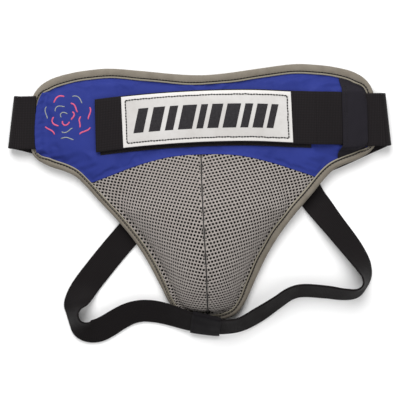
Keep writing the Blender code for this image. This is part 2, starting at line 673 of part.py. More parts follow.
def link_lift(x):
    return TAB_LIFT + (LINK_END_LIFT - TAB_LIFT) * smoothstep((x - LINK_EASE_FROM) / LINK_EASE_OVER)


def make_closure():
    tab_y = tab_center(TAB_RIGHT)
    tab_top = cover_top(TAB_RIGHT, tab_y) + TAB_LIFT + BELT_THICKNESS + PATCH_THICKNESS
    tab_axis = Vector((TAB_RIGHT + 0.5 * HINGE_GAP, tab_y, tab_top + TAB_HINGE_CLEAR))
    link_top = cover_top(LINK_RIGHT, BELT_FRONT_Y) + LINK_END_LIFT + BELT_THICKNESS
    link_axis = Vector((LINK_RIGHT, BELT_FRONT_Y, link_top + LINK_HINGE_CLEAR))

    tab_plate("loop_patch", LOOP_LEFT, LOOP_RIGHT, LOOP_HEIGHT, LOOP_SHIFT, lambda x: LOOP_LIFT,
              PATCH_THICKNESS, LOOP_BLACK)
    tab_plate("tab_link", TAB_RIGHT + HINGE_GAP, LINK_RIGHT - 0.5 * HINGE_GAP, BELT_WIDTH, 0.0, link_lift,
              BELT_THICKNESS, WEB_BLACK, link_axis)
    tab_plate("hook_patch", HOOK_LEFT, TAB_RIGHT - HOOK_END_BACK, HOOK_HEIGHT, 0.0, lambda x: HOOK_LIFT,
              PATCH_THICKNESS, LOOP_BLACK, tab_axis)
    tab_plate("closure_tab", TAB_LEFT, TAB_RIGHT, BELT_WIDTH, 0.0, lambda x: TAB_LIFT, BELT_THICKNESS,
              WEB_BLACK, tab_axis)
    tab_plate("label_patch", LABEL_LEFT, TAB_RIGHT - LABEL_END_BACK, LABEL_HEIGHT, 0.0, lambda x: LABEL_LIFT,
              PATCH_THICKNESS, LABEL_SILVER, tab_axis)


# ---------------------------------------------------------------- the belt and its keeper

def belt_front_z(x):
    """Middle of the belt's thickness where it lies on the right wing."""
    ys = [BELT_FRONT_Y + BELT_WIDTH * (k / BELT_SOUNDINGS - 0.5) for k in range(BELT_SOUNDINGS + 1)]
    return max(ground(x, y) for y in ys) + LINK_END_LIFT + 0.5 * BELT_THICKNESS


def fold_direction(lean):
    angle = math.radians(lean)
    return Vector((math.sin(angle), math.cos(angle), 0.0))


def fold_stations(center, front_z, side, lean):
    """The belt's turn round the edge, from the front to the surface behind."""
    across = fold_direction(lean)
    outward = Vector((side * across.y, -side * across.x, 0.0))
    radius = 0.5 * (front_z - 0.5 * BELT_THICKNESS)
    middle = Vector((center.x, center.y, front_z - radius))
    return [(middle + outward * (FOLD_RADIUS * math.sin(a)) + Vector((0, 0, radius * math.cos(a))), across)
            for a in (math.pi * k / FOLD_SPANS for k in range(FOLD_SPANS + 1))]


def make_belt():
    straight = Vector((0.0, 1.0, 0.0))
    stations = [(Vector((x, BELT_LEFT_Y, BELT_LEFT_FRONT_Z)), straight) for x in BELT_LEFT_XS]
    stations += fold_stations(LEFT_FOLD, BELT_LEFT_FRONT_Z, -1, LEFT_FOLD_LEAN)

    rear = [LEFT_FOLD[:]] + REAR_BELT + [RIGHT_FOLD[:]]
    path = [Vector((p.x, p.y, 0.5 * BELT_THICKNESS)) for p in smooth_path(rear, REAR_BELT_STEP)]
    for i in range(1, len(path) - 1):
        along = (path[i + 1] - path[i - 1]).normalized()
        stations.append((path[i], Vector((-along.y, along.x, 0.0))))

    right_z = ground(BELT_RIGHT_TOP_X, BELT_FRONT_Y) + LINK_END_LIFT + 0.5 * BELT_THICKNESS
    stations += fold_stations(RIGHT_FOLD, right_z, 1, RIGHT_FOLD_LEAN)[::-1]
    for x in (*BELT_RIGHT_XS, LINK_RIGHT + 0.5 * HINGE_GAP):
        stations.append((Vector((x, BELT_FRONT_Y, max(belt_front_z(x), right_z))), straight))
    add_object("waist_belt", ribbon_mesh(stations, BELT_WIDTH, BELT_THICKNESS), WEB_BLACK)


def keeper_bottom(x, y):
    """Underside of the belt keeper: over the belt, and down to the panel on both sides of it."""
    over_belt = belt_front_z(x) + 0.5 * BELT_THICKNESS + KEEPER_CLEARANCE
    beyond = abs(y - BELT_FRONT_Y) - 0.5 * BELT_WIDTH - KEEPER_BESIDE_BELT
    blend = smoothstep(beyond / (KEEPER_FALL_LOW if y < BELT_FRONT_Y else KEEPER_FALL_HIGH))
    low = ground(x, y) + 2.0 * GAP
    return max(over_belt + (low - over_belt) * blend, low)


def make_belt_keeper():
    columns, rows = KEEPER_COLUMNS, len(KEEPER_FRACTIONS)
    bm = bmesh.new()
    grids = [[], []]
    for i in range(columns):
        across = (KEEPER_RIGHT - KEEPER_LEFT) * i / (columns - 1)
        low = KEEPER_LOW_Y + KEEPER_LOW_SLOPE * across
        high = KEEPER_HIGH_Y + KEEPER_HIGH_SLOPE * across
        x, ys = KEEPER_LEFT + across, [low + (high - low) * f for f in KEEPER_FRACTIONS]
        for grid, lift in zip(grids, (0.0, KEEPER_THICKNESS)):
            grid.append([bm.verts.new((x, y, keeper_bottom(x, y) + lift)) for y in ys])
    for grid, flip in ((grids[0], True), (grids[1], False)):
        for i in range(columns - 1):
            for j in range(rows - 1):
                quad = [grid[i][j], grid[i + 1][j], grid[i + 1][j + 1], grid[i][j + 1]]
                bm.faces.new(quad[::-1] if flip else quad)
    rim = [(i, 0) for i in range(columns)] + [(columns - 1, j) for j in range(1, rows)]
    rim += [(i, rows - 1) for i in range(columns - 2, -1, -1)] + [(0, j) for j in range(rows - 2, 0, -1)]
    for (i, j), (k, m) in zip(rim, rim[1:] + rim[:1]):
        bm.faces.new((grids[0][i][j], grids[0][k][m], grids[1][k][m], grids[1][i][j]))
    add_object("belt_keeper", bm, WEB_BLACK)


# ---------------------------------------------------------------- the leg straps

def strap_stations():
    """Centre and across-direction along the whole leg strap. Its raised edge is on the loops' inner side."""
    rows = smooth_route()
    stations = []
    for i, (x, y, lean, lift) in enumerate(rows):
        before, after = rows[max(i - 1, 0)], rows[min(i + 1, len(rows) - 1)]
        along = Vector((after[0] - before[0], after[1] - before[1], 0.0)).normalized()
        inner = Vector((-along.y, along.x, 0.0))
        angle = math.radians(max(lean, 0.0))
        across = inner * math.cos(angle) + Vector((0.0, 0.0, math.sin(angle)))
        z = lift + 0.5 * STRAP_WIDTH * math.sin(angle) + 0.5 * STRAP_THICKNESS * math.cos(angle)
        stations.append((Vector((x, y, z)), across))
    return stations


def smooth_route():
    """The strap's route as evenly spaced (x, y, lean, lift)."""
    plan = [Vector((x, y, lean, lift)) for x, y, lean, lift in STRAP_ROUTE]
    dense = []
    for i in range(len(plan) - 1):
        near = [plan[min(max(i + k, 0), len(plan) - 1)] for k in (-1, 0, 1, 2)]
        dense += [catmull(*near, k / CURVE_CUTS) for k in range(CURVE_CUTS)]
    dense.append(plan[-1])
    rows, travelled, target = [dense[0]], 0.0, STRAP_STEP
    for a, b in zip(dense, dense[1:]):
        span = (b.xy - a.xy).length
        while travelled + span >= target:
            rows.append(a.lerp(b, (target - travelled) / span))
            target += STRAP_STEP
        travelled += span
    return [(r[0], r[1], r[2], max(r[3], 0.0)) for r in rows]


def loop_plane(axis, side):
    """Point and outward normal of the upright plane through a leg loop's axis."""
    along = (axis[1] - axis[0]).to_2d().normalized()
    normal = Vector((along.y, -along.x, 0.0))
    if normal.x * side < 0.0:
        normal.negate()
    return Vector((axis[0].x, axis[0].y, 0.0)), normal


def make_straps():
    stations = strap_stations()
    planes = {-1: loop_plane(LEFT_LOOP_AXIS, -1), 1: loop_plane(RIGHT_LOOP_AXIS, 1)}

    def beyond(station, side):
        point, normal = planes[side]
        return (station[0] - point).dot(normal)

    left_out = [i for i, s in enumerate(stations) if beyond(s, -1) > 0.0 and s[0].x < 0.0]
    right_out = [i for i, s in enumerate(stations) if beyond(s, 1) > 0.0 and s[0].x > 0.0]
    margin = CUT_MARGIN
    pieces = {
        "leg_strap_left_anchor": (0, left_out[0] + margin, -1, -1, None),
        "leg_strap_left": (left_out[0] - margin, left_out[-1] + margin, -1, 1, LEFT_LOOP_AXIS[0]),
        "leg_strap_crotch": (left_out[-1] - margin, right_out[0] + margin, 0, -1, None),
        "leg_strap_right": (right_out[0] - margin, right_out[-1] + margin, 1, 1, RIGHT_LOOP_AXIS[0]),
        "leg_strap_right_anchor": (right_out[-1] - margin, len(stations) - 1, 1, -1, None),
    }
    for name, (first, last, side, way, pivot) in pieces.items():
        bm = ribbon_mesh(stations[first:last + 1], STRAP_WIDTH, STRAP_THICKNESS)
        for s in ((-1, 1) if side == 0 else (side,)):
            point, normal = planes[s]
            keep_side(bm, point + normal * (way * 0.5 * LOOP_CUT_GAP), normal * way)
        add_object(name, bm, WEB_BLACK, pivot)


def make_crotch_keeper():
    """A flat sleeve round the strap at the crotch."""
    stations = [s for s in strap_stations() if abs(s[0].x) < CROTCH_REACH_X and s[0].y < CROTCH_REACH_Y]
    stations.sort(key=lambda s: s[0].x)

    def at(x):
        k = next(i for i in range(len(stations) - 1) if stations[i + 1][0].x >= x)
        (a, wa), (b, wb) = stations[k], stations[k + 1]
        t = (x - a.x) / (b.x - a.x)
        return a.lerp(b, t), wa.lerp(wb, t).normalized(), (b - a).normalized()

    bm = bmesh.new()
    rings = []
    for k in range(CROTCH_KEEPER_SPANS + 1):
        span = CROTCH_KEEPER_RIGHT - CROTCH_KEEPER_LEFT
        center, across, along = at(CROTCH_KEEPER_LEFT + span * k / CROTCH_KEEPER_SPANS)
        out = along.cross(across).normalized()
        pair = []
        for wall in (CROTCH_KEEPER_WALL, 0.0):
            w = 0.5 * STRAP_WIDTH + KEEPER_CLEARANCE + wall
            t = 0.5 * STRAP_THICKNESS + KEEPER_CLEARANCE + wall
            cut = CROTCH_KEEPER_CHAMFER * t
            shape = ((-w, cut - t), (cut - w, -t), (w - cut, -t), (w, cut - t),
                     (w, t - cut), (w - cut, t), (cut - w, t), (-w, t - cut))
            pair.append([bm.verts.new(center + across * u + out * v) for u, v in shape])
        rings.append(pair)
    count = len(rings[0][0])
    for (outer_a, inner_a), (outer_b, inner_b) in zip(rings, rings[1:]):
        for k in range(count):
            n = (k + 1) % count
            bm.faces.new((outer_a[k], outer_a[n], outer_b[n], outer_b[k]))
            bm.faces.new((inner_b[k], inner_b[n], inner_a[n], inner_a[k]))
    for outer, inner, flip in ((*rings[0], True), (*rings[-1], False)):
        for k in range(count):
            n = (k + 1) % count
            quad = [outer[k], outer[n], inner[n], inner[k]]
            bm.faces.new(quad if flip else quad[::-1])
    add_object("crotch_keeper", bm, WEB_BLACK)


def main():
    for old in list(bpy.data.objects):
        bpy.data.objects.remove(old, do_unlink=True)
    make_panel()
    make_closure()
    make_belt()
    make_belt_keeper()
    make_straps()
    make_crotch_keeper()


main()
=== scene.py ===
"""Looks of the pelvic protector: fabric, webbing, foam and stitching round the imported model.

Shapes are worked out in the panel's own millimetres, as in the model: x to the right, y up the panel and
z out of its front, with z = 0 on the surface it lies on. world() turns them into the frame's metres.
"""

import math

import bpy
import numpy as np
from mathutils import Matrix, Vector
from mathutils.bvhtree import BVHTree
from mathutils.geometry import delaunay_2d_cdt

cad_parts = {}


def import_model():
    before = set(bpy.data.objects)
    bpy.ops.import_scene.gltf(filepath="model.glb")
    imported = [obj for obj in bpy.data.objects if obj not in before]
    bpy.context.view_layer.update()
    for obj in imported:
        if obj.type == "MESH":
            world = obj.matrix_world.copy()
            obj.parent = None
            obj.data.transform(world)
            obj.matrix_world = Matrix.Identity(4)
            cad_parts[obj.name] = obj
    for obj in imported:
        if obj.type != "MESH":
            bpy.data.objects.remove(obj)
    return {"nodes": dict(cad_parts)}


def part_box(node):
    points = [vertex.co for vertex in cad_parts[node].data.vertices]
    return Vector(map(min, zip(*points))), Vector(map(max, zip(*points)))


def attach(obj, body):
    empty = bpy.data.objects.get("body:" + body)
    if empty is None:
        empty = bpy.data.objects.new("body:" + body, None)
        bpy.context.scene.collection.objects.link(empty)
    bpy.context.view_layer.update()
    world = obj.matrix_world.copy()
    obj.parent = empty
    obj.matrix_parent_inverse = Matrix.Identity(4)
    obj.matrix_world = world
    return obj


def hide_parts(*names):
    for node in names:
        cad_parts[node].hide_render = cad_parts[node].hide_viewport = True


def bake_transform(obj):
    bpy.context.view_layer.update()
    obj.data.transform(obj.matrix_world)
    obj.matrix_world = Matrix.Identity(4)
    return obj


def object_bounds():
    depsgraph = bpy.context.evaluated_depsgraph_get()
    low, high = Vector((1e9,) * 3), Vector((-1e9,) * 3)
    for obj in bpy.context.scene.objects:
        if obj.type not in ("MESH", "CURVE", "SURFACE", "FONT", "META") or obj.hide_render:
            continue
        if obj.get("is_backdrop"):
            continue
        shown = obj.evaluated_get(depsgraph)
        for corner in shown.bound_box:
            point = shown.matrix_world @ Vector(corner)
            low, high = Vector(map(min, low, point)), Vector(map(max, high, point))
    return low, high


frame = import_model()
cad_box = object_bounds()

MM = 0.001
OUTLINE_LOW_Y, OUTLINE_HIGH_Y = -174.2, 75.0
TAPE_LOW, TAPE_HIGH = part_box("edge_binding")
ORIGIN = np.array([0.5 * (TAPE_LOW.x + TAPE_HIGH.x) / MM, TAPE_LOW.y / MM - OUTLINE_LOW_Y, 0.0])

# ---------------------------------------------------------------- driving sizes

# These are the model's, but for the tab's dip and small shifts of the rear belt and the strap's left turn.

BELT_WIDTH, BELT_THICKNESS = 50.8, 1.8
STRAP_WIDTH, STRAP_THICKNESS = 25.4, 1.6
PANEL_LIFT, TIP_DROP = 4.3, 3.3
BINDING_HEIGHT = 7.4
COVER_EDGE_TOP, PUFF_HEIGHT, PUFF_REACH = 6.2, 5.0, 8.0
FLAT_BEYOND_FLAP = 1.6
LINER_BOTTOM, LINER_TOP = 1.2, 2.2
CUP_FLANGE_TOP, CUP_CLEARANCE, CUP_SHOULDER = 5.0, 3.0, 3.5
RISE_HALF_WIDTH_MAX, RISE_EDGE_SLANT = 80.0, 1.3
CUP_CENTER_Y, CUP_LENGTH_UP, CUP_LENGTH_DOWN = -98.0, 62.0, 54.0
CUP_HALF_WIDTH, CUP_TAPER = 41.0, 0.18
FLAP_WIDTH, FLAP_EXTRA_AT_TOP, FLAP_LESS_AT_WINGS, FLAP_LESS_AT_TIP = 7.5, 2.0, 2.5, 1.5

HALF_OUTLINE = [
    (0, 62.5), (25, 64), (57, 67.8), (88, 70.9), (110, 69.7), (128, 67), (145, 62.2), (157.5, 54),
    (164.5, 41), (166.3, 18), (165.8, -5), (160.5, -14.5), (149, -21.5), (134, -27), (124, -32),
    (115, -40.5), (103, -54.5), (84, -76), (70, -94), (60, -109.5), (51, -126.6), (44, -141),
    (37, -155.5), (28.5, -167.5), (16, -172.8), (0, -174.2),
]
MESH_BOUNDARY = [(0, -12.6), (16, -12.9), (34, -14.6), (53, -18.8), (71, -24.2), (90, -31), (116, -40)]
CUP_RISE = [
    (2, 0), (-10, 1.2), (-18, 4), (-31, 11), (-45, 19), (-60, 26), (-77, 31.5), (-95, 35), (-113, 36.5),
    (-128, 35), (-140, 30.5), (-150, 23), (-160, 13), (-167, 5), (-173, 0),
]

TAB_LEFT, TAB_RIGHT, LINK_RIGHT = -103.0, 86.0, 131.5
TAB_CREST_X, TAB_CREST_Y, TAB_SAG, TAB_DIP = 18.0, 22.4, 6.7, 0.9
LABEL_LEFT, LABEL_HEIGHT = -78.0, 48.6
LOOP_LIFT, HOOK_LIFT, TAB_LIFT, LABEL_LIFT = 0.5, 1.9, 3.3, 5.5
PATCH_THICKNESS, LINK_END_LIFT = 1.0, 0.6

BELT_FRONT_Y, BELT_LEFT_Y, BELT_LEFT_Z = 15.5, 20.6, 12.9
FOLD_RADIUS = 6.0
LEFT_FOLD, RIGHT_FOLD = np.array([-177.9, 20.8]), np.array([171.4, 15.2])
LEFT_FOLD_LEAN, RIGHT_FOLD_LEAN = 8.0, -5.0
REAR_BELT = [(-160, 16), (-118.5, 3), (-70, -10), (-23, -20.5), (39, -26), (102, -12.8), (155, 8.2)]
KEEPER_LEFT, KEEPER_RIGHT, KEEPER_THICKNESS, KEEPER_CLEARANCE = 132.6, 157.0, 1.4, 0.5
CROTCH_KEEPER_LEFT, CROTCH_KEEPER_RIGHT, CROTCH_KEEPER_WALL = -15.5, 11.5, 1.2

# Each point has x, y, the lean in degrees of the strap's inner edge upwards, and its lift
STRAP_ROUTE = [
    (-8, -13, 0, 2.1), (-22, -29, 0, 2.1), (-38, -47, 0, 2.1), (-52, -63, 0, 0.5), (-64, -76.5, 0, 0),
    (-76, -89.5, 0, 0), (-90, -105, 0, 0), (-104, -121.5, 0, 0.3), (-116.5, -137, 2, 0.3),
    (-124.8, -149.8, 22, 0.3), (-129.4, -161.6, 57, 0.3), (-127, -172.6, 60, 0.3), (-118, -180, 34, 0.3),
    (-107.3, -180.8, 25, 0.3), (-97, -176.6, 26, 0.3), (-86.8, -170.6, 28, 0.3), (-75.7, -165.2, 30, 0.3),
    (-64.5, -162.8, 31, 0.3), (-53.5, -163.2, 31, 0.3), (-42.5, -165.4, 33, 0.3), (-32, -168.6, 37, 1),
    (-16, -173.8, 43, 3.5), (-2, -177, 47, 3.8), (13, -179.4, 53, 3.4), (30.5, -177.8, 55, 1.4),
    (48.5, -169, 53, 0.3), (65.8, -158.2, 58, 0.3), (79.4, -149.6, 59, 0.3), (92.3, -146.8, 59, 0.3),
    (114, -148.7, 60, 0.3), (130.8, -151.3, 63, 0.3), (142.8, -150.8, 68, 0.3), (150.6, -144.5, 76, 0.3),
    (152.9, -135.5, 66, 0.3), (151, -127, 53, 0.3), (147.5, -119, 44, 0.3), (138, -104.5, 33, 0.3),
    (121.5, -82.5, 24, 0.3), (112, -69.5, 12, 0.3), (103, -56.5, 0, 0.4), (97, -42, 0, 2.1),
    (92, -22, 0, 2.1), (90.5, -10, 0, 2.1),
]
LEFT_LOOP_AXIS = np.array([(-84.3, -92.0, 2.8), (-35.4, -171.0, 19.0)])
RIGHT_LOOP_AXIS = np.array([(109.0, -59.3, 6.0), (33.6, -175.6, 25.0)])
STRAP_SPLIT = (-2.0, -177.0)

# ---------------------------------------------------------------- looks

HOLE_ALONG, HOLE_DOWN = np.array([3.2, -0.7]), np.array([1.35, 3.2])
HOLE_RADIUS, MESH_DEPTH = 1.14, 0.95
STITCH_PITCH, STITCH_LENGTH, STITCH_RADIUS = 3.0, 3.05, 0.5
STITCH_SIDES = 6
RIPPLE_WAVES = 6
POINTS_AT_A_TIME = 4000
PLATE_SPACING, EDGE_GAP = 3.0, 0.001


# ---------------------------------------------------------------- curves and fields

def world(points):
    return (np.asarray(points, float) + ORIGIN) * MM


def smoothstep(t):
    t = np.clip(t, 0.0, 1.0)
    return t * t * (3.0 - 2.0 * t)


def ramp(value, start, reach):
    """0 up to start, then rising smoothly to 1 over reach."""
    return smoothstep((value - start) / reach)


def unit(vectors):
    return vectors / np.linalg.norm(vectors, axis=-1, keepdims=True)


def travelled(points):
    """Length along a line of points, from 0 at its first."""
    return np.concatenate([[0.0], np.cumsum(np.linalg.norm(np.diff(points, axis=0), axis=1))])


def read_rows(at, positions, rows):
    """Rows between the given ones, which stand at rising positions."""
    return np.stack([np.interp(at, positions, column) for column in rows.T], axis=1)


def smooth_curve(points, steps=12, closed=False):
    """Dense points on the Catmull-Rom curve through the given points."""
    points = np.asarray(points, float)
    count = len(points)
    spans = count if closed else count - 1
    t = np.arange(steps)[:, None] / steps
    dense = []
    for i in range(spans):
        if closed:
            p0, p1, p2, p3 = (points[(i + k) % count] for k in (-1, 0, 1, 2))
        else:
            p0, p1, p2, p3 = (points[min(max(i + k, 0), count - 1)] for k in (-1, 0, 1, 2))
        dense.append(0.5 * (2 * p1 + (p2 - p0) * t + (2 * p0 - 5 * p1 + 4 * p2 - p3) * t ** 2
                            + (3 * p1 - p0 - 3 * p2 + p3) * t ** 3))
    if not closed:
        dense.append(points[-1:])
    return np.concatenate(dense)


def spread(curve, step, closed=False):
    """Points about step apart along a dense curve, by its first two or three coordinates."""
    if closed:
        curve = np.concatenate([curve, curve[:1]])
    lengths = travelled(curve[:, :3])
    count = max(2, int(round(lengths[-1] / step)))
    targets = np.linspace(0.0, lengths[-1], count + 1)
    return read_rows(targets[:-1] if closed else targets, lengths, curve)


def outline_loop(step):
    """The panel's outline, anticlockwise from its top centre, as points about step apart."""
    left_half = [(-x, y) for x, y in HALF_OUTLINE]
    return spread(smooth_curve(left_half + HALF_OUTLINE[-2:0:-1], closed=True), step, closed=True)


def loop_normals(loop, closed=True):
    """Unit normals to the left of travel along a plan curve."""
    ahead = np.roll(loop, -1, axis=0)
    behind = np.roll(loop, 1, axis=0)
    if not closed:
        ahead[-1], behind[0] = loop[-1], loop[0]
    along = unit(ahead - behind)
    return np.stack([-along[:, 1], along[:, 0]], axis=1)


def loop_distance(loop, x, y):
    """Distance inwards from a closed loop, negative outside it."""
    points = np.stack([np.ravel(x), np.ravel(y)], axis=1)
    a, b = loop, np.roll(loop, -1, axis=0)
    edge = b - a
    edge_length = (edge ** 2).sum(axis=1)
    rise_by = np.where(edge[:, 1] == 0.0, 1.0, edge[:, 1])
    result = np.empty(len(points))
    for first in range(0, len(points), POINTS_AT_A_TIME):
        p = points[first:first + POINTS_AT_A_TIME, None, :]
        t = np.clip(((p - a) * edge).sum(axis=2) / edge_length, 0.0, 1.0)
        gap = np.sqrt(((p - a - edge * t[..., None]) ** 2).sum(axis=2)).min(axis=1)
        crosses = (a[:, 1] > p[..., 1]) != (b[:, 1] > p[..., 1])
        at_x = a[:, 0] + edge[:, 0] * (p[..., 1] - a[:, 1]) / rise_by
        odd = (crosses & (p[..., 0] < at_x)).sum(axis=1) % 2 == 1
        result[first:first + POINTS_AT_A_TIME] = np.where(odd, gap, -gap)
    return result.reshape(np.shape(x))


class Field:
    """A function over the panel, kept on a square grid and read with a smooth cubic between its points."""

    STEP, LEFT, LOW, COLUMNS, ROWS = 1.5, -190.0, -196.0, 254, 186

    def __init__(self, function):
        xs = self.LEFT + self.STEP * np.arange(self.COLUMNS)
        ys = self.LOW + self.STEP * np.arange(self.ROWS)
        self.values = function(*np.meshgrid(xs, ys))

    def __call__(self, x, y):
        column = np.clip((np.asarray(x, float) - self.LEFT) / self.STEP, 1.0, self.COLUMNS - 3.001)
        row = np.clip((np.asarray(y, float) - self.LOW) / self.STEP, 1.0, self.ROWS - 3.001)
        i, j = column.astype(int), row.astype(int)
        across, up = self.weights(column - i), self.weights(row - j)
        total = 0.0
        for n, wy in enumerate(up):
            for m, wx in enumerate(across):
                total = total + wx * wy * self.values[j + n - 1, i + m - 1]
        return total

    @staticmethod
    def weights(t):
        return (0.5 * (-t + 2 * t ** 2 - t ** 3), 0.5 * (2 - 5 * t ** 2 + 3 * t ** 3),
                0.5 * (t + 4 * t ** 2 - 3 * t ** 3), 0.5 * (t ** 3 - t ** 2))


def table_reader(points):
    """A smooth function through (position, value) points whose positions run one way."""
    curve = smooth_curve(points, 24)
    order = np.argsort(curve[:, 0])
    return lambda at: np.interp(at, curve[order, 0], curve[order, 1])


def ripple(x, y, length, seed):
    """Smooth noise from -1 to 1: a few plane waves about length long, in fixed random directions."""
    random = np.random.default_rng(seed)
    total = 0.0
    for _ in range(RIPPLE_WAVES):
        angle, phase = random.uniform(0.0, 2.0 * math.pi, 2)
        rate = 2.0 * math.pi / (length * random.uniform(0.7, 1.5))
        total = total + np.sin(rate * (x * math.cos(angle) + y * math.sin(angle)) + phase)
    return total / math.sqrt(2.0 * RIPPLE_WAVES)


# ---------------------------------------------------------------- the panel's form

OUTLINE = outline_loop(2.0)
OUTLINE_NORMALS = loop_normals(OUTLINE)
edge_distance = Field(lambda x, y: loop_distance(OUTLINE, x, y))
cup_rise = table_reader(CUP_RISE)
boundary_side = table_reader(MESH_BOUNDARY)


def boundary_y(x):
    """The line where the blue yoke meets the mesh."""
    return boundary_side(np.abs(x))


def half_width_table():
    """The panel's half width at heights up the panel."""
    ys = np.linspace(OUTLINE_LOW_Y, OUTLINE_HIGH_Y, 500)
    a, b = OUTLINE, np.roll(OUTLINE, -1, axis=0)
    widths = []
    for y in ys:
        hit = (a[:, 1] > y) != (b[:, 1] > y)
        at = a[hit, 0] + (b[hit, 0] - a[hit, 0]) * (y - a[hit, 1]) / (b[hit, 1] - a[hit, 1])
        widths.append(at.max() if len(at) else 0.0)
    return ys, np.array(widths)


WIDTH_YS, WIDTHS = half_width_table()


def base(y):
    """Height of the panel's underside, which drops towards the tip."""
    return PANEL_LIFT - TIP_DROP * ramp(-y, 60.0, 90.0)


def flap_width(x, y):
    """Width of the binding on the front."""
    return (FLAP_WIDTH + FLAP_EXTRA_AT_TOP * ramp(y, 10.0, 40.0)
            - FLAP_LESS_AT_WINGS * ramp(np.abs(x), 150.0, 12.0) - FLAP_LESS_AT_TIP * ramp(-y, 120.0, 40.0))


def beyond_flap(x, y):
    """How far inside the binding, and the flat strip along it, a place is."""
    return np.maximum(edge_distance(x, y), 0.0) - flap_width(x, y) - FLAT_BEYOND_FLAP


def rise_at(x, y):
    """How much the cup lifts the front."""
    slanted_flap = RISE_EDGE_SLANT * (flap_width(x, y) + FLAT_BEYOND_FLAP)
    reach = np.minimum(np.interp(y, WIDTH_YS, WIDTHS) - slanted_flap, RISE_HALF_WIDTH_MAX)
    share = np.clip(1.0 - (x / np.maximum(reach, 0.1)) ** 2, 0.0, 1.0)
    fullness = 0.95 + ramp(y, -60.0, 50.0)
    clear = smoothstep(beyond_flap(x, y) / 3.0)
    return np.where(reach > np.abs(x), clear * cup_rise(y) * share ** fullness, 0.0)


def cover_top_at(x, y):
    puff = 1.0 - np.exp(-np.maximum(beyond_flap(x, y), 0.0) / PUFF_REACH)
    return base(y) + COVER_EDGE_TOP + PUFF_HEIGHT * puff + rise_at(x, y)


cover_top = Field(cover_top_at)


def ground(x, y):
    """Height of whatever a webbing on the front lies on: the cover, or the binding at the edge."""
    on_binding = edge_distance(x, y) < flap_width(x, y) + 1.0
    return np.where(on_binding, np.maximum(cover_top(x, y), base(y) + BINDING_HEIGHT), cover_top(x, y))


def dome(x, y, scale):
    """Height of the cup's dome over its flange, for a dome shrunk by scale."""
    length = np.where(y > CUP_CENTER_Y, CUP_LENGTH_UP, CUP_LENGTH_DOWN)
    half = CUP_HALF_WIDTH + CUP_TAPER * (y - CUP_CENTER_Y)
    q = np.clip(np.hypot(x / half, (y - CUP_CENTER_Y) / length) * scale, 0.0, 1.0)
    crown = np.maximum(cover_top(x, y) - base(y) - CUP_CLEARANCE - CUP_FLANGE_TOP, 0.0)
    return crown * (1.0 - q ** CUP_SHOULDER)


def cover_normal(x, y):
    """Unit normals of the panel's front."""
    step = 0.8
    slope_x = (cover_top(x + step, y) - cover_top(x - step, y)) / (2.0 * step)
    slope_y = (cover_top(x, y + step) - cover_top(x, y - step)) / (2.0 * step)
    return unit(np.stack([-slope_x, -slope_y, np.ones_like(slope_x)], axis=-1))


# ---------------------------------------------------------------- meshes

def add_object(name, data):
    made = bpy.data.objects.new(name, data)
    bpy.context.scene.collection.objects.link(made)
    return made


def add_mesh(name, points, faces, finish, strip=None):
    """A mesh from panel millimetres. strip holds each point's place along and across its webbing."""
    mesh = bpy.data.meshes.new(name)
    listed = [face for group in faces for face in np.asarray(group).tolist()]
    mesh.from_pydata(world(points).tolist(), [], listed)
    if strip is not None:
        layer = mesh.attributes.new("strip", "FLOAT_VECTOR", "POINT")
        flat = np.zeros((len(points), 3), np.float32)
        flat[:, :2] = strip
        layer.data.foreach_set("vector", flat.ravel())
    mesh.shade_smooth()
    mesh.materials.append(finish)
    return add_object(name, mesh)


def grid_faces(rows, columns, wrap_rows=False, wrap_columns=False, first=0):
    """Quads of a grid of points stored row by row."""
    i = np.arange(rows if wrap_rows else rows - 1)[:, None]
    j = np.arange(columns if wrap_columns else columns - 1)[None, :]
    i2, j2 = (i + 1) % rows, (j + 1) % columns
    quads = np.stack([i * columns + j, i * columns + j2, i2 * columns + j2, i2 * columns + j], axis=-1)
    return quads.reshape(-1, 4) + first


def tube_faces(stations, corners, closed=False, first=0):
    """Faces of a tube stored ring by ring, with both ends filled unless it closes on itself."""
    faces = [grid_faces(stations, corners, wrap_rows=closed, wrap_columns=True, first=first)]
    if not closed:
        ring = first + np.arange(corners)
        faces.append([ring[::-1], ring + (stations - 1) * corners])
    return faces


def sweep(name, sections, finish, closed=False, across=None):
    """A tube through sections, shape (stations, corners, 3), with its ends filled."""
    along = travelled(sections.mean(axis=1))
    if across is None:
        across = travelled(sections[0])
    strip = np.stack(np.broadcast_arrays(along[:, None], across[None, :]), axis=-1)
    faces = tube_faces(*sections.shape[:2], closed=closed)
    return add_mesh(name, sections.reshape(-1, 3), faces, finish, strip.reshape(-1, 2))


def tubes(name, all_sections, finish):
    """One mesh of separate tubes, each given by its sections."""
    points, faces, first = [], [], 0
    for sections in all_sections:
        points.append(sections.reshape(-1, 3))
        faces += tube_faces(*sections.shape[:2], first=first)
        first += len(points[-1])
    return add_mesh(name, np.concatenate(points), faces, finish)


def ribbon_profile(width, thickness, columns):
    """Closed cross-section of a webbing: (across, out) pairs, with rounded edges and thicker selvedges."""
    edge = 0.5 * thickness
    us = np.linspace(-0.5 * width + edge, 0.5 * width - edge, columns)
    selvedge = 0.12 * thickness * np.exp(-(0.5 * width - np.abs(us)) / 1.8)
    top = np.stack([us, edge + selvedge], axis=1)
    arc = np.radians([60.0, 20.0, -20.0, -60.0])
    right = np.stack([0.5 * width - edge + edge * np.cos(arc), edge * np.sin(arc)], axis=1)
    bottom = top[::-1] * [1.0, -1.0]
    left = right[::-1] * [-1.0, 1.0]
    return np.concatenate([top, right, bottom, left])


def ribbon_sections(centers, across, profile):
    """A cross-section at each centre, square to the line and turned to its direction across."""
    along = unit(np.gradient(centers, axis=0))
    across = unit(across - along * (across * along).sum(axis=1)[:, None])
    out = np.cross(along, across)
    return (centers[:, None, :] + profile[None, :, :1] * across[:, None, :]
            + profile[None, :, 1:2] * out[:, None, :])


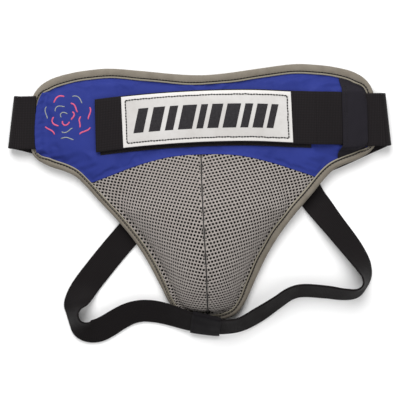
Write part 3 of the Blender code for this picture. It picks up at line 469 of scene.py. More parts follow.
def ribbon(name, centers, across, width, thickness, finish, columns=17):
    """A flat webbing through centre points, each with its direction across."""
    profile = ribbon_profile(width, thickness, columns)
    sections = ribbon_sections(centers, across, profile)
    return sweep(name, sections, finish, across=profile[:, 0])


def two_sided(name, flat, bottom, top, gap, round_over, faces, finish, strip=None):
    """A closed body between two heights over plan points, with its edge rounded over.

    gap is each point's distance from the edge. The points on the edge are shared by both sides.
    """
    swell = np.sqrt(1.0 - (1.0 - np.clip(gap / round_over, 0.0, 1.0)) ** 2)
    middle, half = 0.5 * (bottom + top), 0.5 * (top - bottom)
    inside = gap >= EDGE_GAP
    upper = np.column_stack([flat, middle + half * swell])
    lower = np.column_stack([flat, middle - half * swell])
    index = np.arange(len(flat))
    index[inside] = len(flat) + np.arange(inside.sum())
    used, compact = np.unique(np.concatenate([faces, index[faces]]).ravel(), return_inverse=True)
    both = compact.reshape(-1, faces.shape[1])
    both[len(faces):] = both[len(faces):, ::-1]
    if strip is not None:
        strip = np.concatenate([strip, strip[inside]])[used]
    return add_mesh(name, np.concatenate([upper, lower[inside]])[used], [both], finish, strip)


def slab(name, x, y, bottom, top, finish, round_over):
    """A closed slab over a grid of plan points, shape (rows, columns)."""
    steps = [np.hypot(np.diff(x, axis=k), np.diff(y, axis=k)) for k in (0, 1)]
    u, v = (np.insert(np.cumsum(step, axis=k), 0, 0.0, axis=k) for k, step in enumerate(steps))
    gap = np.minimum(np.minimum(u, u[-1] - u), np.minimum(v, v[:, -1:] - v))
    flat, strip = (np.stack(pair, axis=-1).reshape(-1, 2) for pair in ((x, y), (u, v)))
    return two_sided(name, flat, bottom.ravel(), top.ravel(), gap.ravel(), round_over,
                     grid_faces(*x.shape), finish, strip)


def eased(length, step, edge):
    """Places from 0 to length, close together at both ends for a rounded edge."""
    near = edge * np.array([0.0, 0.08, 0.3, 0.62, 1.0])
    count = max(2, int(round((length - 2.0 * edge) / step)))
    return np.concatenate([near[:-1], np.linspace(edge, length - edge, count + 1), length - near[-2::-1]])


def plate(name, loop, bottom, top, finish, round_over):
    """A closed slab over the area inside a loop. bottom and top give its heights at plan points."""
    lows, highs = loop.min(axis=0), loop.max(axis=0)
    rows = np.arange(lows[1], highs[1], PLATE_SPACING * math.sqrt(0.75))
    lattice = np.array([(x, y) for j, y in enumerate(rows)
                        for x in np.arange(lows[0] + 0.5 * PLATE_SPACING * (j % 2), highs[0], PLATE_SPACING)])
    inwards = loop_normals(loop) * round_over
    points = loop.tolist()
    for group, clearance in ((loop + 0.3 * inwards, 0.2 * round_over), (loop + inwards, 0.8 * round_over),
                             (lattice, 0.45 * PLATE_SPACING)):
        points += group[loop_distance(loop, *group.T) > clearance].tolist()
    edges = [(i, (i + 1) % len(loop)) for i in range(len(loop))]
    flat, _, triangles, *_ = delaunay_2d_cdt([Vector(p) for p in points], edges, [], 0, 1e-5)
    flat = np.array([tuple(p) for p in flat])
    triangles = np.array([t for t in triangles if len(t) == 3])
    triangles = triangles[loop_distance(loop, *flat[triangles].mean(axis=1).T) > 0.0]
    return two_sided(name, flat, bottom(*flat.T), top(*flat.T), loop_distance(loop, *flat.T), round_over,
                     triangles, finish)


def along_path(path, distances):
    """Positions and unit tangents along a dense path, for distances from its start."""
    lengths = travelled(path)
    places, ahead, behind = (read_rows(distances + shift, lengths, path) for shift in (0.0, 0.3, -0.3))
    return places, unit(ahead - behind)


def stitches(name, paths, finish, pitch=STITCH_PITCH, length=STITCH_LENGTH, radius=STITCH_RADIUS,
             up=(0.0, 0.0, 1.0)):
    """Rows of sewn stitches along paths on a surface that faces up. Each stitch dives in at both ends."""
    place = np.linspace(-1.0, 1.0, 7)
    thick = radius * np.sqrt(1.0 - 0.86 * place ** 2)
    height = 0.25 * radius - 0.8 * radius * place ** 4
    forward = np.broadcast_to((0.5 * length * place)[:, None], (len(place), STITCH_SIDES))
    angles = 2.0 * math.pi * np.arange(STITCH_SIDES) / STITCH_SIDES
    sideways = thick[:, None] * np.cos(angles)
    upwards = height[:, None] + thick[:, None] * np.sin(angles)
    made = []
    for path in paths:
        total = travelled(path)[-1]
        count = max(1, int(total // pitch))
        places, tangents = along_path(path, (np.arange(count) + 0.5) * total / count)
        sides = unit(np.cross(np.asarray(up), tangents))
        for point, tangent, side, normal in zip(places, tangents, sides, np.cross(tangents, sides)):
            made.append(point + forward[..., None] * tangent + sideways[..., None] * side
                        + upwards[..., None] * normal)
    return tubes(name, made, finish)


def apply_modifiers(piece):
    """Replaces a piece's mesh with what its modifiers make of it."""
    graph = bpy.context.evaluated_depsgraph_get()
    evaluated = bpy.data.meshes.new_from_object(piece.evaluated_get(graph), depsgraph=graph)
    piece.modifiers.clear()
    piece.data = evaluated


def read_vectors(items, field):
    """The three-number field of every one of a mesh's items."""
    values = np.empty(len(items) * 3)
    items.foreach_get(field, values)
    return values.reshape(-1, 3)


def set_coordinates(piece, points):
    piece.data.vertices.foreach_set("co", points.astype(np.float32).ravel())
    piece.data.update()


def height_over(piece):
    """A function that gives a piece's upper surface, in panel millimetres, at plan points."""
    graph = bpy.context.evaluated_depsgraph_get()
    tree = BVHTree.FromObject(piece, graph)

    def height(x, y):
        tops = []
        for px, py in zip(np.ravel(x), np.ravel(y)):
            start = Vector(world([px, py, 200.0]))
            hit = tree.ray_cast(start, Vector((0.0, 0.0, -1.0)))[0]
            tops.append(hit.z / MM if hit else float(cover_top(px, py)))
        return np.array(tops).reshape(np.shape(x))

    return height


# ---------------------------------------------------------------- finishes

def srgb(red, green, blue):
    """Linear colour of an 8-bit screen colour."""
    parts = np.array([red, green, blue]) / 255.0
    linear = np.where(parts <= 0.04045, parts / 12.92, ((parts + 0.055) / 1.055) ** 2.4)
    return (*linear, 1.0)


class Finish:
    """Builds a Principled material whose colour, roughness and bump come from node patterns."""

    def __init__(self, name, sheen=0.0, specular=0.35):
        self.material = bpy.data.materials.new(name)
        self.material.use_nodes = True
        self.tree = self.material.node_tree
        self.shader = self.tree.nodes["Principled BSDF"]
        self.shader.inputs["Sheen Weight"].default_value = sheen
        self.shader.inputs["Sheen Roughness"].default_value = 0.5
        self.shader.inputs["Specular IOR Level"].default_value = specular

    def put(self, socket, value):
        if isinstance(value, bpy.types.NodeSocket):
            self.tree.links.new(value, socket)
        else:
            socket.default_value = value

    def math(self, operation, *values):
        node = self.tree.nodes.new("ShaderNodeMath")
        node.operation = operation
        for socket, value in zip(node.inputs, values):
            self.put(socket, value)
        return node.outputs[0]

    def add(self, a, b):
        return self.math("ADD", a, b)

    def times(self, a, b):
        return self.math("MULTIPLY", a, b)

    def place(self):
        return self.tree.nodes.new("ShaderNodeTexCoord").outputs["Object"]

    def strip(self):
        """Millimetres along and across a webbing."""
        node = self.tree.nodes.new("ShaderNodeAttribute")
        node.attribute_name = "strip"
        return self.parts(node.outputs["Vector"])[:2]

    def plan(self):
        """Millimetres to the right and up in the frame."""
        return [self.times(part, 1.0 / MM) for part in self.parts(self.place())[:2]]

    def parts(self, vector):
        node = self.tree.nodes.new("ShaderNodeSeparateXYZ")
        self.put(node.inputs[0], vector)
        return list(node.outputs)

    def wave(self, along, period):
        """A smooth wave from 0 to 1."""
        turned = self.times(along, 2.0 * math.pi / period)
        return self.math("MULTIPLY_ADD", self.math("SINE", turned), 0.5, 0.5)

    def noise(self, size, detail=2.0, seed=0.0, roughness=0.5):
        """Noise from 0 to 1, with blobs about size millimetres across."""
        node = self.tree.nodes.new("ShaderNodeTexNoise")
        node.noise_dimensions = "4D"
        self.put(node.inputs["Vector"], self.place())
        node.inputs["W"].default_value = seed
        node.inputs["Scale"].default_value = 1.0 / (size * MM)
        node.inputs["Detail"].default_value = detail
        node.inputs["Roughness"].default_value = roughness
        return node.outputs["Fac"]

    def cells(self, size):
        """Distance from the middle of cells about size millimetres across."""
        node = self.tree.nodes.new("ShaderNodeTexVoronoi")
        self.put(node.inputs["Vector"], self.place())
        node.inputs["Scale"].default_value = 1.0 / (size * MM)
        return node.outputs["Distance"]

    def between(self, value, low, high, to_low=0.0, to_high=1.0):
        """The value stretched so that low becomes to_low and high becomes to_high, and kept between them."""
        node = self.tree.nodes.new("ShaderNodeMapRange")
        for socket, number in zip(node.inputs, (value, low, high, to_low, to_high)):
            self.put(socket, number)
        return node.outputs[0]

    def mix(self, share, a, b):
        """Colour a where the share is 0, and b where it is 1."""
        node = self.tree.nodes.new("ShaderNodeMix")
        node.data_type = "RGBA"
        self.put(node.inputs[0], share)
        self.put(node.inputs[6], a)
        self.put(node.inputs[7], b)
        return node.outputs[2]

    def done(self, color, roughness, height=None, depth=0.2, strength=0.6):
        """depth is the height of the bump's full range, in millimetres."""
        self.put(self.shader.inputs["Base Color"], color)
        self.put(self.shader.inputs["Roughness"], roughness)
        if height is not None:
            bump = self.tree.nodes.new("ShaderNodeBump")
            bump.inputs["Strength"].default_value = strength
            bump.inputs["Distance"].default_value = depth * MM
            self.put(bump.inputs["Height"], height)
            self.put(self.shader.inputs["Normal"], bump.outputs[0])
        return self.material


def nylon_finish():
    """Closely woven blue nylon: a plain weave with painted shade in its gaps, faint clouds of colour and
    small creases.
    """
    f = Finish("nylon_blue", specular=0.12)
    x, y = f.plan()
    weave = f.times(f.wave(x, 0.9), f.wave(y, 0.9))
    clouds = f.between(f.noise(34.0, 3.0, 1.0), 0.3, 0.7)
    color = f.mix(clouds, srgb(37, 48, 119), srgb(43, 55, 131))
    # Painted shade: the colour darkens towards navy in the gaps of the weave, where the threads dip.
    color = f.mix(f.between(weave, 0.0, 0.6, 0.22, 0.0), color, srgb(24, 31, 84))
    height = f.math("MULTIPLY_ADD", f.noise(6.0, 3.0, 2.0), 1.6, f.times(weave, 0.35))
    return f.done(color, f.between(f.noise(3.0, 4.0, 3.0), 0.2, 0.8, 0.6, 0.78), height, 0.25, 0.5)


def yarn_finish():
    """Knitted polyester yarn of the spacer mesh."""
    f = Finish("spacer_mesh", sheen=0.08, specular=0.15)
    x, y = f.plan()
    fibres = f.times(f.wave(f.add(x, y), 0.42), f.wave(f.math("SUBTRACT", x, y), 0.55))
    tone = f.between(f.noise(2.2, 4.0, 5.0), 0.25, 0.75)
    color = f.mix(tone, srgb(153, 146, 141), srgb(181, 174, 169))
    # Painted shade: darker between the fibres, where the bump pattern is low.
    color = f.mix(f.between(fibres, 0.0, 0.5, 0.3, 0.0), color, srgb(105, 98, 93))
    return f.done(color, 0.82, f.add(fibres, f.noise(0.8, 3.0, 6.0)), 0.18, 0.7)


def backing_shade_finish():
    """Open knit that shows through the holes of the mesh: a real backing layer, coloured near black as
    painted shade inside the holes, lighter on the knit's crests.
    """
    f = Finish("spacer_backing_shade", specular=0.2)
    x, y = f.plan()
    knit = f.times(f.wave(x, 0.8), f.wave(y, 0.8))
    color = f.mix(knit, srgb(14, 11, 11), srgb(26, 21, 20))
    return f.done(color, 0.9, knit, 0.2)


TAPE_STITCH_AT = 2.3  # from the tape's inner edge, also read by the binding's own section


def tape_finish():
    """Grey-brown woven binding tape with a fine diagonal rib, painted shade in the rib's valleys, a painted
    highlight on its inner lip and painted shadow in its stitched groove.
    """
    f = Finish("binding_tape", sheen=0.08, specular=0.15)
    along, across = f.strip()
    twill = f.wave(f.add(along, f.times(across, 1.4)), 1.1)
    cords = f.wave(across, 0.9)
    tone = f.between(f.noise(9.0, 4.0, 7.0), 0.3, 0.7)
    color = f.mix(tone, srgb(112, 105, 94), srgb(128, 121, 110))
    # Painted shade: darker in the valleys of the diagonal rib.
    color = f.mix(f.between(twill, 0.0, 0.7, 0.3, 0.0), color, srgb(84, 78, 70))
    # Painted highlight: lighter along the tape's raised inner lip, its first 1.2 to 1.8 mm.
    color = f.mix(f.between(across, 1.2, 1.8, 0.75, 0.0), color, srgb(150, 144, 128))
    # A dark band along the stitch line: the thread's dark line and painted shadow in the groove that the
    # stitches pull in.
    seam = f.math("ABSOLUTE", f.math("SUBTRACT", across, TAPE_STITCH_AT))
    color = f.mix(f.between(seam, 0.25, 0.7, 0.9, 0.0), color, srgb(34, 30, 27))
    height = f.add(f.times(twill, 0.7), f.times(cords, 0.3))
    return f.done(color, f.between(tone, 0.0, 1.0, 0.7, 0.82), height, 0.16)


def webbing_finish(name, dark, light, rib, cord):
    """Black webbing: ribs across its length and cords along it."""
    f = Finish(name, sheen=0.02, specular=0.1)
    along, across = f.strip()
    ribs, cords = f.wave(along, rib), f.wave(across, cord)
    woven = f.times(ribs, f.math("MULTIPLY_ADD", cords, 0.6, 0.4))
    worn = f.between(f.noise(12.0, 4.0, 9.0), 0.35, 0.75)
    # Painted shade and highlight: darker in the valleys between ribs and cords, lighter on their crests.
    color = f.mix(f.times(woven, 0.8), dark, light)
    color = f.mix(f.times(worn, 0.25), color, light)
    return f.done(color, f.between(worn, 0.0, 1.0, 0.62, 0.78), woven, 0.24, 0.7)


def pile_finish():
    """Fuzzy loop pile."""
    f = Finish("loop_pile", sheen=0.1, specular=0.08)
    fuzz = f.add(f.noise(0.7, 5.0, 11.0, 0.7), f.cells(0.9))
    # Painted shade and highlight: darker where the pile is low, lighter on its raised tufts.
    color = f.mix(f.between(fuzz, 0.5, 1.5), srgb(12, 10, 12), srgb(40, 36, 38))
    return f.done(color, 0.95, fuzz, 0.5, 0.9)


def hook_finish():
    """Hook side of the closure: rows of small hooks on a woven ground."""
    f = Finish("hook_tape", specular=0.4)
    along, across = f.strip()
    hooks = f.times(f.wave(along, 1.5), f.wave(across, 1.8))
    sharp = f.between(hooks, 0.45, 0.8)
    # Painted highlight: the raised hooks are lighter than the ground between them.
    color = f.mix(sharp, srgb(22, 20, 22), srgb(70, 66, 68))
    return f.done(color, 0.55, sharp, 0.6, 0.9)


def label_finish():
    """Pale coated film with a faint leather-like grain."""
    f = Finish("label_film", specular=0.3)
    grain = f.add(f.cells(1.1), f.times(f.noise(2.5, 4.0, 13.0), 0.6))
    tone = f.between(f.noise(45.0, 2.0, 14.0), 0.35, 0.65)
    color = f.mix(tone, srgb(184, 181, 178), srgb(196, 194, 192))
    color = f.mix(f.between(f.noise(5.0, 5.0, 15.0), 0.45, 0.8, 0.0, 0.3), color, srgb(164, 159, 155))
    along, across = f.strip()
    rim = f.math("MINIMUM", f.math("MINIMUM", along, f.math("SUBTRACT", TAB_RIGHT - LABEL_LEFT, along)),
                 f.math("MINIMUM", across, f.math("SUBTRACT", LABEL_HEIGHT, across)))
    color = f.mix(f.between(rim, 3.2, 4.2, 0.6, 0.0), color, srgb(212, 209, 206))
    return f.done(color, f.between(grain, 0.2, 1.2, 0.36, 0.55), grain, 0.12, 0.5)


def print_finish():
    """Worn black print."""
    f = Finish("label_print", specular=0.2)
    worn = f.between(f.noise(2.0, 5.0, 17.0, 0.7), 0.35, 0.75)
    color = f.mix(worn, srgb(22, 20, 23), srgb(44, 41, 44))
    return f.done(color, f.between(worn, 0.0, 1.0, 0.4, 0.6), f.noise(0.9, 3.0, 18.0), 0.06)


def thread_finish(name, color, shade):
    """Twisted sewing thread."""
    f = Finish(name, sheen=0.05, specular=0.2)
    x, y = f.plan()
    twist = f.wave(f.add(f.times(x, 0.8), y), 0.5)
    tone = f.between(f.noise(2.0, 3.0, 19.0), 0.3, 0.7)
    # Painted shade: the colour goes to the darker shade in the twist's grooves, varied by random tone.
    return f.done(f.mix(f.times(twist, tone), shade, color), 0.5, twist, 0.15)


def liner_finish():
    """Brushed tricot lining with small moisture dimples."""
    f = Finish("liner_fabric", sheen=0.35, specular=0.2)
    x, y = f.plan()
    dimples = f.times(f.wave(x, 4.2), f.wave(y, 4.2))
    knit = f.times(f.wave(x, 0.7), f.wave(y, 0.9))
    tone = f.between(f.noise(25.0, 3.0, 21.0), 0.3, 0.7)
    color = f.mix(tone, srgb(52, 52, 56), srgb(66, 66, 71))
    # Painted shade: darker in the hollows of the dimples.
    color = f.mix(f.between(dimples, 0.5, 0.9, 0.0, 0.5), color, srgb(34, 34, 38))
    height = f.math("SUBTRACT", f.times(knit, 0.2), f.between(dimples, 0.5, 0.9))
    return f.done(color, 0.9, height, 0.35)


def foam_finish():
    """Cream open-cell foam."""
    f = Finish("foam", specular=0.2)
    pores = f.cells(1.3)
    tone = f.between(f.noise(18.0, 3.0, 23.0), 0.3, 0.7)
    color = f.mix(tone, srgb(214, 208, 192), srgb(226, 222, 208))
    # Painted shade: darker in the hollows of the pores.
    color = f.mix(f.between(pores, 0.0, 0.35, 0.6, 0.0), color, srgb(150, 140, 118))
    return f.done(color, 0.92, pores, 0.4)


def cup_finish():
    """Moulded polypropylene with a fine spark texture and flow marks."""
    f = Finish("cup_plastic", specular=0.5)
    flow = f.between(f.noise(40.0, 2.0, 25.0), 0.35, 0.65)
    color = f.mix(flow, srgb(218, 218, 214), srgb(230, 230, 227))
    scuffs = f.between(f.noise(5.0, 6.0, 26.0, 0.7), 0.55, 0.8)
    color = f.mix(f.times(scuffs, 0.3), color, srgb(180, 180, 176))
    return f.done(color, f.between(scuffs, 0.0, 1.0, 0.34, 0.55), f.noise(0.6, 3.0, 27.0), 0.05)


def rubber_finish():
    """Dusty black rubber."""
    f = Finish("bead_rubber", specular=0.3)
    dust = f.between(f.noise(6.0, 5.0, 29.0, 0.65), 0.5, 0.8)
    color = f.mix(f.times(dust, 0.4), srgb(32, 32, 33), srgb(78, 76, 74))
    return f.done(color, f.between(dust, 0.0, 1.0, 0.55, 0.75), f.noise(0.5, 3.0, 30.0), 0.06)


def floor_finish():
    f = Finish("floor", specular=0.0)
    tone = f.noise(300.0, 2.0, 31.0)
    return f.done(f.mix(tone, srgb(250, 250, 250), srgb(253, 253, 253)), 0.95)


NYLON = nylon_finish()
YARN = yarn_finish()
BACKING_SHADE = backing_shade_finish()
TAPE = tape_finish()
BELT = webbing_finish("belt_elastic", srgb(16, 13, 14), srgb(34, 30, 32), 1.5, 2.4)
KEEPER = webbing_finish("keeper_webbing", srgb(22, 20, 25), srgb(40, 37, 44), 1.1, 1.3)
SLEEVE = webbing_finish("sleeve_webbing", srgb(13, 11, 13), srgb(26, 23, 27), 1.1, 1.3)
STRAP = webbing_finish("strap_elastic", srgb(12, 9, 10), srgb(26, 22, 23), 1.3, 1.8)
PILE = pile_finish()
HOOK = hook_finish()
LABEL = label_finish()
PRINT = print_finish()
BLACK_THREAD = thread_finish("thread_black", srgb(24, 21, 23), srgb(10, 9, 10))
PINK_THREAD = thread_finish("thread_pink", srgb(228, 112, 146), srgb(190, 76, 112))
PALE_THREAD = thread_finish("thread_pale", srgb(176, 181, 174), srgb(132, 137, 134))
LINER = liner_finish()
FOAM = foam_finish()
CUP = cup_finish()
RUBBER = rubber_finish()
FLOOR = floor_finish()


def settle(piece, body, material_slot, *nodes):
    """Rides a piece on its body and hides the CAD nodes that it stands for. Its material_slot is not used."""
    if body:
        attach(piece, body)
    if nodes:
        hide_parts(*nodes)
    return piece


# ---------------------------------------------------------------- the yoke

YOKE_TUCK, HEM_OVERLAP = 2.0, 1.3
BELT_LIFT_TOP = BELT_LEFT_Z + 0.5 * BELT_THICKNESS + 0.9
YOKE_COLUMNS, YOKE_ROWS = 165, 49
YOKE_CORNER_X, YOKE_STRAIGHT_X = 158.0, 120.0
YOKE_THICKNESS, YOKE_DEPTH, HEM_HEIGHT, HEM_REACH, HEM_END_X = 0.8, 0.35, 0.95, 2.5, 118.0
PUCKER_HEIGHT, PUCKER_LENGTH, PUCKER_REACH = 0.3, 7.0, 6.0
CLOTH_FRAMES, CLOTH_PRESSURE = 20, 1.2
CLOTH_RISE, CLOTH_RISE_UNDER_TAB, CLOTH_SINK = 1.6, 0.25, 0.9
CLOTH_SHARES = np.array([0.6, 0.6, 1.0])


def over_belt_end(x, y):
    """1 where the yoke's left edge lies over the end of the belt."""
    beside = ramp(-np.abs(y - BELT_LEFT_Y), -(0.5 * BELT_WIDTH + 5.5), 4.5)
    return beside * ramp(-x, 148.0, 9.0)


def yoke_top(x, y):
    """Height of the blue cover before it is puffed up."""
    above_hem = np.maximum(y - (boundary_y(x) - HEM_OVERLAP), 0.0)
    hem = np.exp(-above_hem / HEM_REACH) * (np.abs(x) < HEM_END_X)
    height = cover_top(x, y) - YOKE_DEPTH + HEM_HEIGHT * hem
    over = over_belt_end(x, y)
    return height * (1.0 - over) + np.maximum(BELT_LIFT_TOP, height) * over


def yoke_plan():
    """Plan points of the yoke: columns of points between its lower line and its upper edge."""
    inset = flap_width(*OUTLINE.T) - YOKE_TUCK
    at_belt = over_belt_end(*(OUTLINE + OUTLINE_NORMALS * 5.0).T)
    rim = OUTLINE + OUTLINE_NORMALS * (inset + YOKE_TUCK * 0.9 * at_belt)[:, None]
    rim = rim[np.argsort(rim[:, 0])]
    upper = rim[rim[:, 1] > 20.0]
    lower = rim[(rim[:, 1] < 10.0) & (rim[:, 1] > boundary_y(rim[:, 0]) - HEM_OVERLAP)]
    left, right = lower[lower[:, 0] < 0.0], lower[lower[:, 0] > 0.0]
    inner = np.linspace(left[-1, 0], right[0, 0], 120)[1:-1]
    hem = np.column_stack([inner, boundary_y(inner) - HEM_OVERLAP])
    lower = np.concatenate([left, hem, right])
    u = np.linspace(-YOKE_CORNER_X, YOKE_CORNER_X, YOKE_COLUMNS)
    top_y = np.interp(u, upper[:, 0], upper[:, 1])
    low_y = np.interp(u, lower[:, 0], lower[:, 1])
    v = np.linspace(0.0, 1.0, YOKE_ROWS)[:, None]
    y = low_y + (top_y - low_y) * v
    x = np.broadcast_to(u, y.shape).copy()
    for side, column in ((-1, 0), (1, -1)):
        edge = rim[rim[:, 0] * side > 150.0]
        edge = edge[np.argsort(edge[:, 1])]
        bulge = np.interp(y[:, column], edge[:, 1], edge[:, 0]) - side * YOKE_CORNER_X
        share = (side * u - YOKE_STRAIGHT_X) / (YOKE_CORNER_X - YOKE_STRAIGHT_X)
        x += bulge[:, None] * np.clip(share, 0.0, 1.0) ** 1.5
    return x, y


def puff_up(piece, pins, cap_up):
    """Inflates a sheet with the cloth solver while its pinned points stay, then limits how far it moved."""
    start = read_vectors(piece.data.vertices, "co")
    group = piece.vertex_groups.new(name="pins")
    group.add(pins.tolist(), 1.0, "REPLACE")
    cloth = piece.modifiers.new("cloth", "CLOTH")
    settings = cloth.settings
    settings.quality = 6
    settings.mass = 0.15
    settings.tension_stiffness = settings.compression_stiffness = 20.0
    settings.shear_stiffness = 8.0
    settings.bending_stiffness = 0.6
    settings.shrink_min = -0.03
    settings.use_pressure = True
    settings.uniform_pressure_force = CLOTH_PRESSURE
    settings.effector_weights.gravity = 0.0
    settings.vertex_group_mass = "pins"
    cloth.point_cache.frame_start, cloth.point_cache.frame_end = 1, CLOTH_FRAMES
    scene = bpy.context.scene
    for number in range(1, CLOTH_FRAMES + 1):
        scene.frame_set(number)
    result = piece.evaluated_get(bpy.context.evaluated_depsgraph_get())
    moved = read_vectors(result.to_mesh().vertices, "co")
    result.to_mesh_clear()
    piece.modifiers.clear()
    piece.vertex_groups.clear()
    scene.frame_set(1)
    shift = np.clip((moved - start) / MM, -CLOTH_SINK * CLOTH_SHARES, cap_up[:, None] * CLOTH_SHARES)
    set_coordinates(piece, start + shift * MM)


def make_yoke():
    x, y = yoke_plan()
    wrinkles = 0.16 * ripple(x, y, 26.0, 3) + 0.07 * ripple(x, y, 9.0, 4)
    edge = np.exp(-np.maximum(edge_distance(x, y) - flap_width(x, y), 0.0) / PUCKER_REACH)
    around = np.arctan2(y - 20.0, x) * 150.0
    waves = np.sin(2.0 * math.pi * around / PUCKER_LENGTH + 2.0 * ripple(x, y, 40.0, 5))
    puckers = PUCKER_HEIGHT * edge * waves
    points = np.stack([x, y, yoke_top(x, y) + wrinkles + puckers], axis=-1).reshape(-1, 3)
    piece = add_mesh("yoke_fabric", points, [grid_faces(*x.shape)], NYLON)

    pinned = np.ones(x.shape, bool)
    pinned[2:-2, 2:-2] = False
    under_tab = ramp(-np.abs(y - TAB_CREST_Y + 2.0), -34.0, 6.0) * ramp(-np.abs(x), -140.0, 8.0)
    cap_up = CLOTH_RISE + (CLOTH_RISE_UNDER_TAB - CLOTH_RISE) * under_tab
    puff_up(piece, np.flatnonzero(pinned), cap_up.ravel())
    solid = piece.modifiers.new("thickness", "SOLIDIFY")
    solid.thickness, solid.offset = YOKE_THICKNESS * MM, -1.0
    smooth = piece.modifiers.new("smooth", "SUBSURF")
    smooth.levels = smooth.render_levels = 1
    apply_modifiers(piece)
    settle(piece, "panel", "nylon_blue", "yoke_cover")
    return piece


# ---------------------------------------------------------------- the spacer mesh over the cup

SEAM_CLEAR = 0.55
SEAM_SINK, SEAM_SINK_REACH = 1.1, 1.5
SEAM_LEAN, SEAM_LEAN_REACH = -2.8, 40.0
MESH_COLUMNS, MESH_ROWS, FIRST_COLUMN = 75, 85, -38
DRAPE_LENGTH, DRAPE_STEP = 150.0, 0.5
# A cell's eight outer points, anticlockwise from its lower left corner, in column and row steps
CELL_RING = ((-0.5, -0.5), (0.0, -0.5), (0.5, -0.5), (0.5, 0.0),
             (0.5, 0.5), (0.0, 0.5), (-0.5, 0.5), (-0.5, 0.0))
ROW_STRAND_SAG, COLUMN_STRAND_SAG = 0.1, 0.06
SHOULDER_DEPTH, LIP_DEPTH = 0.1, 0.42
HOLE_CORNER_REACH, HOLE_SIZE_LOWEST, HOLE_SIZE_REACH = 1.2, 0.15, 1.25
MESH_TUCK, MESH_DIVE, MESH_DIVE_REACH = 2.6, 1.3, 1.2
BACKING_DEPTH, BACKING_THICKNESS, BACKING_DIVE = 1.7, 0.4, 0.8
SEAM_THREAD_RADIUS, SEAM_THREAD_DEPTH = 0.6, 0.55


def seam_x(y):
    """How far the centre seam strays sideways: to the left at its top, true at its foot."""
    return SEAM_LEAN * ramp(y, -165.0, 140.0)


def under_hem(x, y):
    """0 on the open mesh, rising to 1 where it goes under the yoke's lower hem."""
    return smoothstep((y - boundary_y(x) + HEM_OVERLAP) / MESH_DIVE_REACH)


class Drape:
    """Places on the front from lengths on the flat fabric: out from the centre seam and down it."""

    def __init__(self):
        self.ys = np.linspace(2.0, OUTLINE_LOW_Y - 2.0, 360)
        self.down = travelled(np.column_stack([self.ys, cover_top(np.zeros_like(self.ys), self.ys)]))
        xs = np.linspace(0.0, 130.0, 261)
        across, up = np.meshgrid(xs, self.ys)
        steps = np.hypot(np.diff(across, axis=1), np.diff(cover_top(across, up), axis=1))
        out = np.insert(np.cumsum(steps, axis=1), 0, 0.0, axis=1)
        lengths = np.arange(0.0, DRAPE_LENGTH + DRAPE_STEP, DRAPE_STEP)
        self.table = np.array([np.interp(lengths, row, xs) for row in out])
        # Flat length from the first row down to the top of the seam, less room for the wings
        self.top = 4.0 - np.interp(-boundary_y(0.0), -self.ys, self.down)

    def __call__(self, flat):
        """Plan places of flat ones, whose last axis holds the lengths out and down."""
        out, down = flat[..., 0], flat[..., 1] - self.top
        row = np.interp(down, self.down, np.arange(len(self.ys)))
        column = np.clip(out / DRAPE_STEP, 0.0, self.table.shape[1] - 2.0)
        i, j = np.minimum(row.astype(int), len(self.ys) - 2), column.astype(int)
        s, t = row - i, column - j
        x = ((self.table[i, j] * (1 - t) + self.table[i, j + 1] * t) * (1 - s)
             + (self.table[i + 1, j] * (1 - t) + self.table[i + 1, j + 1] * t) * s)
        return x, np.interp(down, self.down, self.ys)


def lattice(di, dj, columns, rows):
    """Flat places of a grid of points, shifted from the holes' centres by di columns and dj rows."""
    column = (FIRST_COLUMN + np.arange(columns) + di)[:, None, None]
    row = (np.arange(rows) + dj)[None, :, None]
    return column * HOLE_ALONG + row * HOLE_DOWN


def cell_rings():
    """Indexes of every cell's eight outer points among the corners, row strands and column strands."""
    i, j = np.meshgrid(np.arange(MESH_COLUMNS), np.arange(MESH_ROWS), indexing="ij")
    corner = lambda a, b: (i + a) * (MESH_ROWS + 1) + j + b
    first_row_strand = (MESH_COLUMNS + 1) * (MESH_ROWS + 1)
    row_strand = lambda b: first_row_strand + corner(0, b)
    first_column_strand = first_row_strand + MESH_COLUMNS * (MESH_ROWS + 1)
    column_strand = lambda a: first_column_strand + (i + a) * MESH_ROWS + j
    return np.stack([corner(0, 0), row_strand(0), corner(1, 0), column_strand(1), corner(1, 1), row_strand(1),
                     corner(0, 1), column_strand(0)], axis=-1)


def mesh_quads(rings, keep, cells):
    """Quads between each cell's rings, and walls where a cell has no neighbour."""
    quads = []
    for outer, inner in zip(rings, rings[1:]):
        quads.append(np.stack([outer, np.roll(outer, -1, axis=1), np.roll(inner, -1, axis=1), inner],
                              axis=-1).reshape(-1, 4))
    keep = np.pad(keep, 1)
    for first, (di, dj) in zip((0, 2, 4, 6), ((0, -1), (1, 0), (0, 1), (-1, 0))):
        is_open = ~keep[cells[0] + 1 + di, cells[1] + 1 + dj]
        top, low = rings[0][is_open], rings[-1][is_open]
        for p, q in ((first, first + 1), (first + 1, (first + 2) % 8)):
            quads.append(np.stack([top[:, q], top[:, p], low[:, p], low[:, q]], axis=-1))
    return np.concatenate(quads)


